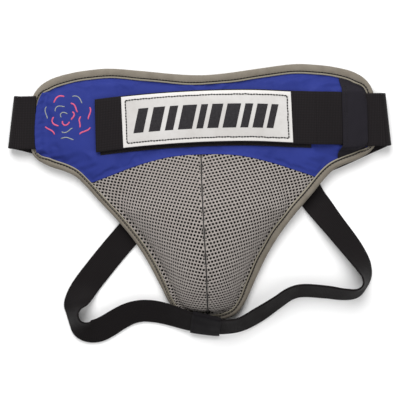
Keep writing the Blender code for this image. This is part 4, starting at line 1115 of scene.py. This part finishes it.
def make_mesh_half(side, word, drape):
    """Half of the spacer mesh: a sheared lattice of round holes between rounded strands."""
    centers = lattice(0.0, 0.0, MESH_COLUMNS, MESH_ROWS)
    strands = [lattice(-0.5, -0.5, MESH_COLUMNS + 1, MESH_ROWS + 1),
               lattice(0.0, -0.5, MESH_COLUMNS, MESH_ROWS + 1),
               lattice(-0.5, 0.0, MESH_COLUMNS + 1, MESH_ROWS)]
    shared = np.concatenate([places.reshape(-1, 2) for places in strands])
    sag = np.repeat((0.0, ROW_STRAND_SAG, COLUMN_STRAND_SAG), [places.size // 2 for places in strands])

    x, y = drape(centers)
    keep = ((edge_distance(x, y) > flap_width(x, y) - MESH_TUCK) & (y < boundary_y(x) + 0.6)
            & (centers[..., 0] > 0.5) & (y > OUTLINE_LOW_Y))
    cells = np.nonzero(keep)
    center, ring = centers[cells], cell_rings()[cells]

    offsets = np.array([a * HOLE_ALONG + b * HOLE_DOWN for a, b in CELL_RING])
    size = np.clip((center[:, 0] - SEAM_CLEAR) / HOLE_SIZE_REACH, HOLE_SIZE_LOWEST, 1.0)
    corner_reach = np.where(np.arange(8) % 2 == 0, HOLE_CORNER_REACH, 1.0)
    reach = unit(offsets) * (HOLE_RADIUS * size[:, None] * corner_reach)[..., None]
    lip = (center[:, None] + reach).reshape(-1, 2)
    shoulder = (center[:, None] + 0.5 * (offsets + reach)).reshape(-1, 2)
    flat = [shared, shoulder, lip, lip, shared]
    depths = [sag] + [np.full(len(group), depth) for group, depth in
                      zip(flat[1:], (SHOULDER_DEPTH, LIP_DEPTH, MESH_DEPTH, MESH_DEPTH))]
    starts = np.cumsum([len(group) for group in flat])
    own = np.arange(len(lip)).reshape(-1, 8)
    rings = [ring, *(start + own for start in starts[:3]), starts[3] + ring]
    quads = mesh_quads(rings, keep, cells)
    used, compact = np.unique(quads.ravel(), return_inverse=True)
    quads = compact.reshape(-1, 4)
    flat, depth = np.concatenate(flat)[used], np.concatenate(depths)[used]

    x, y = drape(flat)
    x = np.maximum(x, SEAM_CLEAR)
    depth = depth + SEAM_SINK * np.exp(-(x - SEAM_CLEAR) / SEAM_SINK_REACH)
    depth = depth + 0.1 * ripple(flat[:, 0], flat[:, 1], 14.0, 8)
    depth = depth + MESH_DIVE * under_hem(x, y)
    leaned = side * x + seam_x(y) * np.exp(-(x / SEAM_LEAN_REACH) ** 2)
    points = np.column_stack([leaned, y, cover_top(leaned, y)]) - cover_normal(leaned, y) * depth[:, None]
    points[:, 0] = seam_x(y) + side * np.maximum(side * (points[:, 0] - seam_x(y)), 0.12)
    if side > 0:
        quads = quads[:, ::-1]
    piece = add_mesh("mesh_" + word, points, [quads], YARN)
    return settle(piece, "panel", "spacer_mesh", "mesh_cover_" + word)


def half_loop(side, inset):
    """Closed outline of one half of the mesh, in plan, shrunk inwards by inset at the panel's edge."""
    rim = OUTLINE + OUTLINE_NORMALS * inset
    rim = rim[(rim[:, 1] < boundary_y(rim[:, 0]) - 1.0) & (rim[:, 0] > 1.5)]
    start = np.argmin(rim[:, 0] - 1e-3 * rim[:, 1])
    rim = np.roll(rim, -start, axis=0)
    seam_y = np.arange(float(boundary_y(0.0)) - 2.5, rim[0, 1] + 1.0, -2.5)
    seam = np.column_stack([0.5 + side * seam_x(seam_y), seam_y])
    top_x = np.arange(rim[-1, 0] - 1.5, seam[0, 0] + 1.0, -2.5)
    top = np.column_stack([top_x, boundary_y(top_x)])
    loop = np.concatenate([rim, top, seam])
    return loop if side > 0 else (loop * [-1.0, 1.0])[::-1]


def make_backing(side, word):
    """The dark knitted sheet behind the holes: a real layer, its near-black colour painted shade inside the
    holes.
    """
    sunk = lambda x, y: BACKING_DIVE * (np.exp(-np.abs(x - seam_x(y)) / SEAM_SINK_REACH) + under_hem(x, y))
    top = lambda x, y: cover_top(x, y) - BACKING_DEPTH - sunk(x, y)
    bottom = lambda x, y: top(x, y) - BACKING_THICKNESS
    piece = plate("mesh_backing_" + word, half_loop(side, 3.0), bottom, top, BACKING_SHADE, 0.6)
    return settle(piece, "panel", "spacer_mesh")


def make_center_seam():
    """The sunken seam between the halves: the turned-in edges of the mesh and a thin dark thread."""
    y = np.arange(float(boundary_y(0.0)) + 0.4, OUTLINE_LOW_Y + 4.0, -1.5)
    right = np.array([0.0, 0.12, 0.25, 0.4, 0.55, 0.75, 0.95])
    from_seam, y = np.meshgrid(np.concatenate([-right[:0:-1], right]), y)
    away = np.abs(from_seam)
    depth = 0.4 + SEAM_SINK * np.exp(-np.maximum(away - SEAM_CLEAR, 0.0) / SEAM_SINK_REACH)
    depth = depth + 0.6 * np.exp(-away / 0.35) + 0.3 * smoothstep((away - 0.5) / 0.45)
    x = from_seam + seam_x(y)
    top = cover_top(x, y) - depth
    settle(slab("seam_edges", x, y, top - 0.5, top, YARN, 0.2), "panel", "spacer_mesh")

    y = y[:, 0]
    path = np.column_stack([seam_x(y) + 0.22 * ripple(y, y, 9.0, 9), y,
                            cover_top(seam_x(y), y) - SEAM_SINK - SEAM_THREAD_DEPTH])
    angle = 2.0 * math.pi * np.arange(8) / 8
    ring = SEAM_THREAD_RADIUS * np.column_stack([np.cos(angle), np.zeros(8), np.sin(angle)])
    settle(sweep("center_seam", path[:, None] + ring, BLACK_THREAD), "panel", None)


# ---------------------------------------------------------------- the binding

TAPE_GROOVE, TAPE_GROOVE_REACH, TAPE_PUCKER, TAPE_CROWN = 0.55, 0.75, 0.18, 0.35
TAPE_BEND_RADIUS, TAPE_REST = 1.9, 0.15


def tape_extra(x, y):
    """How much wider than in the model the sewn tape shows: wider on the right, narrower on the left."""
    low = smoothstep((-20.0 - y) / 20.0)
    return low * np.where(x > 0.0, 0.9, -1.3) * smoothstep((np.abs(x) - 12.0) / 20.0)


def tape_profile(width, pucker):
    """(inwards, up) of each corner of the tape's section, round it from the stitched edge on the front."""
    height = BINDING_HEIGHT
    profile = []
    for share in (1.0, 0.985, 0.93, 0.86, 0.78, 0.7, 0.6, 0.45, 0.32):
        from_edge = width * (1.0 - share)
        groove = np.exp(-((from_edge - TAPE_STITCH_AT) / TAPE_GROOVE_REACH) ** 2)
        lip = smoothstep(from_edge / 0.5)
        rise = height - TAPE_GROOVE + TAPE_GROOVE * lip - (TAPE_GROOVE + TAPE_PUCKER * pucker) * groove
        profile.append((width * share, rise + TAPE_CROWN * math.sin(math.pi * share)))
    for angle in np.radians([75.0, 50.0, 22.0, -10.0, -40.0, -70.0]):
        profile.append((TAPE_BEND_RADIUS - TAPE_BEND_RADIUS * math.cos(angle),
                        0.5 * height + (0.5 * height - 0.1) * math.sin(angle)))
    profile += [(width * share, TAPE_REST) for share in (0.4, 0.65, 0.9, 1.0)]
    profile += [(width * 0.985, 0.9), (width * 0.6, 0.95), (1.8, 1.1), (1.8, height - 1.15),
                (width * 0.6, height - 0.75), (width * 0.96, height - 0.85)]
    return profile


def make_tape():
    """The binding: a tape folded round the edge, rounded outside, pinched along its stitches."""
    outline = outline_loop(1.25)
    normals = loop_normals(outline)
    x, y = outline.T
    width = flap_width(x, y) + tape_extra(x, y) + 0.25 * ripple(x, y, 30.0, 12)
    pucker = np.cos(2.0 * math.pi * travelled(outline) / STITCH_PITCH) * (0.6 + 0.4 * ripple(x, y, 25.0, 13))

    def raised(inwards, up):
        place = outline + normals * np.broadcast_to(inwards, x.shape)[:, None]
        return np.column_stack([place, base(place[:, 1]) + up])

    sections = np.stack([raised(*corner) for corner in tape_profile(width, pucker)], axis=1)
    tape = sweep("edge_tape", sections[:, ::-1], TAPE, closed=True, across=travelled(sections[0])[::-1])
    settle(tape, "panel", "binding_tape", "edge_binding")

    for word, rise, up in (("front", BINDING_HEIGHT - 0.12, 1.0), ("back", 0.1, -1.0)):
        row = raised(width - TAPE_STITCH_AT, rise)
        closed_row = np.concatenate([row, row[:1]])
        sewn = stitches("tape_stitches_" + word, [closed_row], BLACK_THREAD, up=(0.0, 0.0, up))
        settle(sewn, "panel", None)


# ---------------------------------------------------------------- the closure at the front

LOOP_LEFT, LOOP_RIGHT, LOOP_HEIGHT, LOOP_DROP = -99.0, 103.0, 52.0, 2.6
HOOK_LEFT, HOOK_INSET, HOOK_HEIGHT = -98.0, 4.0, 47.0
BAND_JOIN_X, BAND_OVERLAP = 108.0, 0.6
LABEL_BORDER, LABEL_SLANT, LABEL_WAVES = 3.9, -0.022, 0.08
LABEL_STITCH_PITCH, LABEL_STITCH_LENGTH, LABEL_STITCH_RADIUS = 2.7, 2.75, 0.62
BAR_HEIGHT, BAR_LEAN, BAR_THICKNESS = 23.0, 0.24, 0.15
# Left end and width of each bar
SLANTED_BARS = ((-64.0, 9.5), (-49.5, 11.0), (-34.0, 8.0), (-21.5, 13.5), (-4.0, 6.5),
                (6.5, 10.5), (21.0, 13.0), (38.0, 7.5), (49.5, 10.0), (63.0, 6.5))


def tab_center(x):
    """Height up the panel of the closure's middle line, which sags to both sides of its crest."""
    dip = TAB_DIP * np.exp(-((x - TAB_RIGHT) / 28.0) ** 2)
    return TAB_CREST_Y - TAB_SAG * ((x - TAB_CREST_X) / 120.0) ** 2 - dip


def strip_plan(left, right, width, shift, step=2.5, edge=0.8, slant=0.0):
    """Plan grid of a strip on the closure's line, from left to right."""
    xs = (left + eased(right - left, step, edge))[:, None]
    across = (eased(width, step, edge) - 0.5 * width)[None, :]
    return xs + slant * across, tab_center(xs) + shift + across


def laid_strip(name, plan, lift, thickness, finish, edge=0.8, waves=0.0):
    """A strip that lies on the panel's front, lift above it."""
    x, y = plan
    bottom = cover_top(x, y) + lift + waves * ripple(x, y, 30.0, 21)
    return slab(name, x, y, bottom, bottom + thickness, finish, edge)


def link_lift(x):
    return TAB_LIFT + (LINK_END_LIFT - TAB_LIFT) * ramp(x, 106.0, 24.0)


def make_closure():
    """The loop patch on the yoke, the hook patch and tab over it, and the link to the keeper."""
    plan = strip_plan(LOOP_LEFT, LOOP_RIGHT, LOOP_HEIGHT, -LOOP_DROP, 1.6)
    patch = laid_strip("front_loop_patch", plan, LOOP_LIFT, PATCH_THICKNESS, PILE)
    settle(patch, "panel", "hook_and_loop", "loop_patch")
    plan = strip_plan(HOOK_LEFT, TAB_RIGHT - HOOK_INSET, HOOK_HEIGHT, 0.0)
    hooks = laid_strip("tab_hook_patch", plan, HOOK_LIFT, PATCH_THICKNESS, HOOK)
    settle(hooks, "closure_tab", "hook_and_loop", "hook_patch")

    band = laid_strip("tab_band", strip_plan(TAB_LEFT, BAND_JOIN_X, BELT_WIDTH, 0.0, 2.0), TAB_LIFT,
                      BELT_THICKNESS, BELT)
    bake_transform(band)
    settle(band, None, "webbing_black", "closure_tab")

    x, y = strip_plan(BAND_JOIN_X - BAND_OVERLAP, LINK_RIGHT + 3.0, BELT_WIDTH, 0.0, 2.0)
    y = y + ramp(x, BAND_JOIN_X, 24.0)
    bottom = cover_top(x, y) + link_lift(x)
    link = slab("link_band", x, y, bottom - 0.02, bottom + BELT_THICKNESS + 0.02, BELT, 0.8)
    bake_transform(link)
    settle(link, None, "webbing_black", "tab_link")
    make_label()


def label_height(x, y):
    """Upper surface of the label."""
    return cover_top(x, y) + LABEL_LIFT + PATCH_THICKNESS


def make_label():
    """The sewn label, a little skewed, with a row of stitches inside its border."""
    left, right = LABEL_LEFT + 0.8, TAB_RIGHT - 1.2
    plan = strip_plan(left, right, LABEL_HEIGHT, 0.0, 2.0, 0.5, slant=LABEL_SLANT)
    label = laid_strip("label", plan, LABEL_LIFT - 0.2, PATCH_THICKNESS + 0.2, LABEL, 0.5, LABEL_WAVES)
    settle(label, "closure_tab", "label_film", "label_patch")

    x = np.linspace(left + LABEL_BORDER, right - LABEL_BORDER, 90)
    half = 0.5 * LABEL_HEIGHT - LABEL_BORDER
    rungs = np.linspace(-half, half, 30)
    top = np.column_stack([x, tab_center(x) + half])
    low = np.column_stack([x, tab_center(x) - half])[::-1]
    left_side = np.column_stack([np.full(30, x[0]), tab_center(x[0]) + rungs])
    right_side = np.column_stack([np.full(30, x[-1]), tab_center(x[-1]) + rungs[::-1]])
    paths = []
    for line in (top, right_side, low, left_side):
        skewed = line + 0.22 * ripple(line[:, 0], line[:, 1], 7.0, 31)[:, None]
        skewed[:, 0] += LABEL_SLANT * (line[:, 1] - tab_center(line[:, 0]))
        paths.append(np.column_stack([skewed, label_height(*skewed.T) + 0.05]))
    border = stitches("label_stitches", paths, BLACK_THREAD, LABEL_STITCH_PITCH, LABEL_STITCH_LENGTH,
                      LABEL_STITCH_RADIUS)
    settle(border, "closure_tab", None)
    make_bars()


def make_bars():
    """A row of slanted bars printed on the label, in place of any wording."""
    v = (eased(BAR_HEIGHT, 2.0, 0.3) - 0.5 * BAR_HEIGHT)[None, :]
    points, faces, first = [], [], 0
    for left, width in SLANTED_BARS:
        x = left + eased(width, 2.0, 0.3)[:, None] + BAR_LEAN * v
        y = tab_center(x) + v
        raised = np.full(x.shape, 0.14)
        raised[[0, -1], :] = raised[:, [0, -1]] = -0.05
        z = label_height(x, y) + LABEL_WAVES * ripple(x, y, 30.0, 21) + raised
        points.append(np.stack([x, y, z], axis=-1).reshape(-1, 3))
        faces.append(grid_faces(*x.shape, first=first)[:, ::-1])
        first += x.size
    bars = add_mesh("label_bars", np.concatenate(points), faces, PRINT)
    thick = bars.modifiers.new("thickness", "SOLIDIFY")
    thick.thickness, thick.offset = BAR_THICKNESS * MM, -1.0
    settle(bars, "closure_tab", None)


# ---------------------------------------------------------------- the embroidered motif

MOTIF_CENTER = np.array([-129.5, 24.0])
# Strokes, radius, share of the ring that they cover, and turn, of each broken ring
MOTIF_RINGS = ((7, 20.5, 0.62, 0.2), (5, 12.5, 0.66, 0.75), (3, 5.5, 0.7, 0.1))
MOTIF_WAVE, MOTIF_THICKNESS = 1.9, 0.38


def motif_strokes(odd):
    """The short wavy strokes of the broken rings: every other one, from the first or the second."""
    strokes = []
    for count, radius, cover, turn in MOTIF_RINGS:
        for k in range(odd, count, 2):
            middle = 2.0 * math.pi * (k + turn) / count
            a = middle + np.linspace(-0.5, 0.5, 24) * 2.0 * math.pi / count * cover
            r = radius + MOTIF_WAVE * np.sin(3.0 * (a - middle) * count / math.pi + k)
            strokes.append(MOTIF_CENTER + np.column_stack([1.06 * r * np.cos(a), r * np.sin(a)]))
    return strokes


def make_motif(height):
    """Satin-stitched strokes that lie on the yoke."""
    angle = 2.0 * math.pi * np.arange(8) / 8
    for odd, name, half_width, finish in ((0, "motif_pink", 0.75, PINK_THREAD),
                                          (1, "motif_pale", 0.5, PALE_THREAD)):
        made = []
        for line in motif_strokes(odd):
            line = spread(line, 0.8)
            side = loop_normals(line, closed=False)
            taper = np.sqrt(np.clip(np.sin(math.pi * np.linspace(0.03, 0.97, len(line))) * 3.0, 0.0, 1.0))
            place = line[:, None] + side[:, None] * (half_width * np.cos(angle) * taper[:, None])[..., None]
            z = (height(*line.T) + 0.05)[:, None] + MOTIF_THICKNESS * np.sin(angle) * taper[:, None]
            made.append(np.concatenate([place, z[..., None]], axis=-1))
        settle(tubes(name, made, finish), "panel", None)


# ---------------------------------------------------------------- the belt and its keeper

REST_HEIGHT = 0.5 * BELT_THICKNESS + 0.24
# Where the belt's ends stop: under the yoke at the left and at the link's hinge at the right
LEFT_END_XS = (-159.4, -162.0, -166.0, -171.0, -175.0)
RIGHT_END_XS = (169.0, 166.0, 163.0, 158.0, 152.0, 145.0, 138.0, LINK_RIGHT + 3.2)
KEEPER_TUCK = 1.6
KEEPER_STITCH_LINES = (1.2, 3.6)


def belt_front_z(x):
    """Height of the belt's middle where it lies on the front, over the highest place under it."""
    ys = BELT_FRONT_Y + BELT_WIDTH * (np.arange(13) / 12.0 - 0.5)
    return float(max(ground(np.full(13, x), ys))) + LINK_END_LIFT + 0.5 * BELT_THICKNESS


def fold_stations(center, front_z, side, lean):
    """The belt's turn round the edge, from the front to the surface behind."""
    angle = math.radians(lean)
    across = np.array([math.sin(angle), math.cos(angle), 0.0])
    outward = np.array([side * across[1], -side * across[0], 0.0])
    radius = 0.5 * (front_z - 0.5 * BELT_THICKNESS)
    middle = np.array([*center, front_z - radius])
    turn = np.linspace(0.0, math.pi, 17)
    centers = (middle + outward * (FOLD_RADIUS * np.sin(turn))[:, None]
               + np.array([0.0, 0.0, 1.0]) * (radius * np.cos(turn))[:, None])
    return [(place, across) for place in centers]


def make_belt():
    """The belt, from under the yoke's left end, behind the panel and round to the link."""
    straight = np.array([0.0, 1.0, 0.0])
    stations = [(np.array([x, BELT_LEFT_Y, BELT_LEFT_Z]), straight) for x in LEFT_END_XS]
    stations += fold_stations(LEFT_FOLD, BELT_LEFT_Z, -1, LEFT_FOLD_LEAN)
    path = spread(smooth_curve([LEFT_FOLD, *REAR_BELT, RIGHT_FOLD]), 5.0)
    for place, normal in list(zip(path, loop_normals(path, closed=False)))[2:-2]:
        stations.append((np.array([*place, REST_HEIGHT]), np.array([*normal, 0.0])))
    right_z = float(ground(163.0, BELT_FRONT_Y)) + LINK_END_LIFT + 0.5 * BELT_THICKNESS
    stations += fold_stations(RIGHT_FOLD, right_z, 1, RIGHT_FOLD_LEAN)[::-1]
    stations += [(np.array([x, BELT_FRONT_Y, max(belt_front_z(x), right_z)]), straight) for x in RIGHT_END_XS]
    dense = spread(smooth_curve([np.concatenate(station) for station in stations], 4), 2.2)
    dense[:, 2] = np.maximum(dense[:, 2], REST_HEIGHT)
    belt = ribbon("waist_elastic", dense[:, :3], dense[:, 3:], BELT_WIDTH, BELT_THICKNESS, BELT, 27)
    settle(belt, "panel", "webbing_black", "waist_belt")


def tape_edge_y(x, start, stop):
    """Where a line at x, going from start to stop in y, has gone under the binding by the keeper's tuck."""
    ys = np.linspace(start, stop, 120)
    under = edge_distance(np.full_like(ys, x), ys) < flap_width(x, ys) - KEEPER_TUCK
    return float(ys[np.argmax(under)])


def keeper_bottom(x, y, tucked):
    """The keeper's underside: over the belt, and down to the cover beyond the belt's edges."""
    belt_z = np.array([belt_front_z(v) for v in x.mean(axis=1)])[:, None]
    over_belt = belt_z + 0.5 * BELT_THICKNESS + KEEPER_CLEARANCE
    beyond = np.abs(y - BELT_FRONT_Y) - 0.5 * BELT_WIDTH - 0.8
    fallen = smoothstep(beyond / np.where(y < BELT_FRONT_Y, 3.6, 9.0))
    low = cover_top(x, y) + 0.8 - 0.95 * tucked
    return np.maximum(over_belt + (low - over_belt) * np.maximum(fallen, tucked), low)


def make_keeper():
    """The keeper over the belt, tucked under the binding at both ends and flared to its left there."""
    u = eased(1.0, 0.08, 0.025)
    # Where the keeper's columns of points go under the binding below and above
    low = np.array([tape_edge_y(x, -6.0, -32.0) for x in 128.5 + 27.0 * u])
    high = np.array([tape_edge_y(x, 44.0, 70.0) for x in 131.0 + 21.5 * u])
    y = low[:, None] + (high - low)[:, None] * eased(1.0, 0.022, 0.01)
    # Both side edges swing left beyond the belt, towards the keeper's upper and lower ends
    left = KEEPER_LEFT + 0.6 - 2.2 * ramp(y, 44.0, 12.0) - 5.0 * ramp(-y, 7.0, 10.0)
    right = KEEPER_RIGHT + 0.5 - 5.2 * ramp(y, 41.0, 12.0) - 2.0 * ramp(-y, 4.0, 6.0)
    x = left + (right - left) * u[:, None]
    tucked = smoothstep((flap_width(x, y) + 2.0 - edge_distance(x, y)) / 2.4)
    bottom = keeper_bottom(x, y, tucked) + 0.12 * ripple(x, y, 12.0, 41)
    keeper = slab("keeper_band", x, y, bottom, bottom + KEEPER_THICKNESS - 0.85 * tucked, KEEPER, 0.6)
    settle(keeper, "panel", "webbing_black", "belt_keeper")

    line_y = np.linspace(-9.0, 49.0, 60)
    edge_x, edge_z = (np.interp(line_y, y[4], field[4]) for field in (x, bottom))
    rows = [np.column_stack([edge_x + inset, line_y, edge_z + KEEPER_THICKNESS + 0.02])
            for inset in KEEPER_STITCH_LINES]
    settle(stitches("keeper_stitches", rows, BLACK_THREAD, 2.6, 2.2, 0.24), "panel", None)


# ---------------------------------------------------------------- the leg straps

SLEEVE_GIRTH, SLEEVE_CLEARANCE, SLEEVE_STATIONS = 56.0, 0.15, 15


def strap_line():
    """Centres and across-directions along the whole leg strap."""
    rows = spread(smooth_curve(STRAP_ROUTE), 2.4)
    place, lift = rows[:, :2], np.maximum(rows[:, 3], 0.22)
    angle = np.radians(np.maximum(rows[:, 2], 0.0))
    inner = loop_normals(place, closed=False)
    across = np.column_stack([inner * np.cos(angle)[:, None], np.sin(angle)])
    z = lift + 0.5 * STRAP_WIDTH * np.sin(angle) + 0.5 * STRAP_THICKNESS * np.cos(angle)
    return np.column_stack([place, z]), across


def make_straps():
    """Two ribbons that meet inside the sleeve."""
    centers, across = strap_line()
    split = int(np.argmin(np.hypot(*(centers[:, :2] - STRAP_SPLIT).T)))
    halves = (("left", slice(0, split + 1), -1, LEFT_LOOP_AXIS,
               ("leg_strap_left_anchor", "leg_strap_left", "leg_strap_crotch")),
              ("right", slice(split, None), 1, RIGHT_LOOP_AXIS,
               ("leg_strap_right_anchor", "leg_strap_right")))
    for word, part, side, axis, nodes in halves:
        strap = ribbon("leg_webbing_" + word, centers[part], across[part], STRAP_WIDTH, STRAP_THICKNESS,
                       STRAP, 15)
        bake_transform(strap)
        settle(strap, None, "webbing_black", *nodes)


def sleeve_profile(grow):
    """Closed cross-section round the strap, its corners rounded, grown by a distance."""
    half_width = 0.5 * STRAP_WIDTH + KEEPER_CLEARANCE + grow
    radius = 0.5 * STRAP_THICKNESS + KEEPER_CLEARANCE + grow
    turn = np.radians(np.linspace(0.0, 90.0, 5))
    arcs = []
    for sx, sy, angles in ((1, 1, turn), (-1, 1, turn[::-1]), (-1, -1, turn), (1, -1, turn[::-1])):
        arcs.append(np.column_stack([sx * (half_width - radius + radius * np.cos(angles)),
                                     sy * radius * np.sin(angles)]))
    return np.concatenate(arcs)


def make_crotch_sleeve():
    """A flat open-ended sleeve of webbing round the strap at the crotch."""
    centers, across = strap_line()
    near = (np.abs(centers[:, 0]) < 34.0) & (centers[:, 1] < -150.0)
    xs = np.linspace(CROTCH_KEEPER_LEFT, CROTCH_KEEPER_RIGHT, SLEEVE_STATIONS)
    line, wide = (read_rows(xs, centers[near, 0], rows[near]) for rows in (centers, across))
    outer = ribbon_sections(line, wide, sleeve_profile(CROTCH_KEEPER_WALL))
    inner = ribbon_sections(line, wide, sleeve_profile(SLEEVE_CLEARANCE))
    stations, corners = outer.shape[:2]
    size = stations * corners
    outside = grid_faces(stations, corners, wrap_columns=True)
    a = np.arange(corners)
    b = np.roll(a, -1)
    rim = np.stack([a, b, b + size, a + size], axis=1)
    faces = [outside, outside[:, ::-1] + size, rim[:, ::-1], rim + size - corners]
    girth = np.linspace(0.0, SLEEVE_GIRTH, corners)
    strip = np.tile(np.column_stack([np.repeat(xs, corners), np.tile(girth, stations)]), (2, 1))
    points = np.concatenate([outer.reshape(-1, 3), inner.reshape(-1, 3)])
    settle(add_mesh("crotch_sleeve", points, faces, SLEEVE, strip), "panel", "webbing_black", "crotch_keeper")


# ---------------------------------------------------------------- inside and behind

FOAM_VOXEL, FOAM_SHRINK = 1.6, 0.5
FOAM_NODES = ("yoke_foam_center", "wing_foam_left", "wing_foam_right", "cup_surround_foam")


def make_liner():
    """The lining behind: it follows the cup's hollow and is quilted round it."""
    loop = outline_loop(3.0)
    quilt = lambda x, y: 0.025 * ripple(x, y, 18.0, 51)
    bottom = lambda x, y: base(y) + LINER_BOTTOM + 0.94 * dome(x, y, 1.18) + quilt(x, y)
    top = lambda x, y: base(y) + LINER_TOP - 0.15 + 0.96 * dome(x, y, 1.14)
    liner = plate("comfort_lining", loop + loop_normals(loop) * 2.2, bottom, top, LINER, 0.5)
    settle(liner, "panel", "liner_fabric", "comfort_liner")


def make_foam(node):
    """A foam insert with soft edges, inside the space that its plain solid holds."""
    foam = add_object(node + "_soft", frame["nodes"][node].data.copy())
    remesh = foam.modifiers.new("remesh", "REMESH")
    remesh.mode = "VOXEL"
    remesh.voxel_size = FOAM_VOXEL * MM
    soften = foam.modifiers.new("soften", "SMOOTH")
    soften.factor, soften.iterations = 0.5, 6
    apply_modifiers(foam)
    places, normals = read_vectors(foam.data.vertices, "co"), read_vectors(foam.data.vertex_normals, "vector")
    set_coordinates(foam, places - FOAM_SHRINK * MM * normals)
    foam.data.materials.clear()
    foam.data.materials.append(FOAM)
    foam.data.shade_smooth()
    settle(foam, "panel", "foam", node)


def finish_cad_nodes():
    """Gives the moulded cup and its rubber bead, whose shapes are right, their real finishes."""
    for node, finish in (("hard_cup", CUP), ("cup_rim_bead", RUBBER)):
        for one in frame["nodes"][node].material_slots:
            one.material = finish


# ---------------------------------------------------------------- stage

CAMERA_AIM, CAMERA_DISTANCE, CAMERA_ROLL, CAMERA_LENS = (-4.8, -57.5, 10.0), 1.6, -1.4, 150.0
FLOOR_HALF, FLOOR_DROP = 4.0, 0.0003
SKY_STRENGTH = 0.45
# Place, size and power of each light, all aimed at the origin
LIGHTS = {"key": ((-0.2, 1.1, 1.15), 1.5, 30.5), "fill": ((0.6, -0.8, 1.5), 1.4, 9.0)}


def make_camera():
    camera = add_object("camera", bpy.data.cameras.new("camera"))
    camera.data.lens, camera.data.sensor_width = CAMERA_LENS, 36.0
    camera.location = Vector(world(CAMERA_AIM)) + Vector((0.0, 0.0, CAMERA_DISTANCE))
    camera.rotation_euler = (0.0, 0.0, math.radians(CAMERA_ROLL))
    bpy.context.scene.camera = camera


def make_stage():
    mesh = bpy.data.meshes.new("floor")
    corners = [(x * FLOOR_HALF, y * FLOOR_HALF, 0.0) for x, y in ((-1, -1), (1, -1), (1, 1), (-1, 1))]
    mesh.from_pydata(corners, [], [(0, 1, 2, 3)])
    mesh.materials.append(FLOOR)
    floor = add_object("floor", mesh)
    floor.location.z = -FLOOR_DROP
    floor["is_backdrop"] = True
    studio = bpy.data.worlds.new("studio")
    studio.use_nodes = True
    background = studio.node_tree.nodes["Background"]
    background.inputs["Color"].default_value = (1.0, 1.0, 1.0, 1.0)
    background.inputs["Strength"].default_value = SKY_STRENGTH
    bpy.context.scene.world = studio
    for name, (place, size, power) in LIGHTS.items():
        light = bpy.data.lights.new(name, "AREA")
        light.shape, light.size, light.energy = "DISK", size, power
        made = add_object(name, light)
        made.location = place
        made.rotation_euler = (-Vector(place)).to_track_quat("-Z", "Y").to_euler()
    bpy.context.scene.view_settings.view_transform = "Standard"


make_camera()
make_stage()
yoke = make_yoke()
drape = Drape()
for side, word in ((-1, "left"), (1, "right")):
    make_mesh_half(side, word, drape)
    make_backing(side, word)
make_center_seam()
make_tape()
make_closure()
make_motif(height_over(yoke))
make_belt()
make_keeper()
make_straps()
make_crotch_sleeve()
make_liner()
for node in FOAM_NODES:
    make_foam(node)
finish_cad_nodes()

visual_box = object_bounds()
({"cad": [list(corner) for corner in cad_box],
           "visual": [list(corner) for corner in visual_box]})
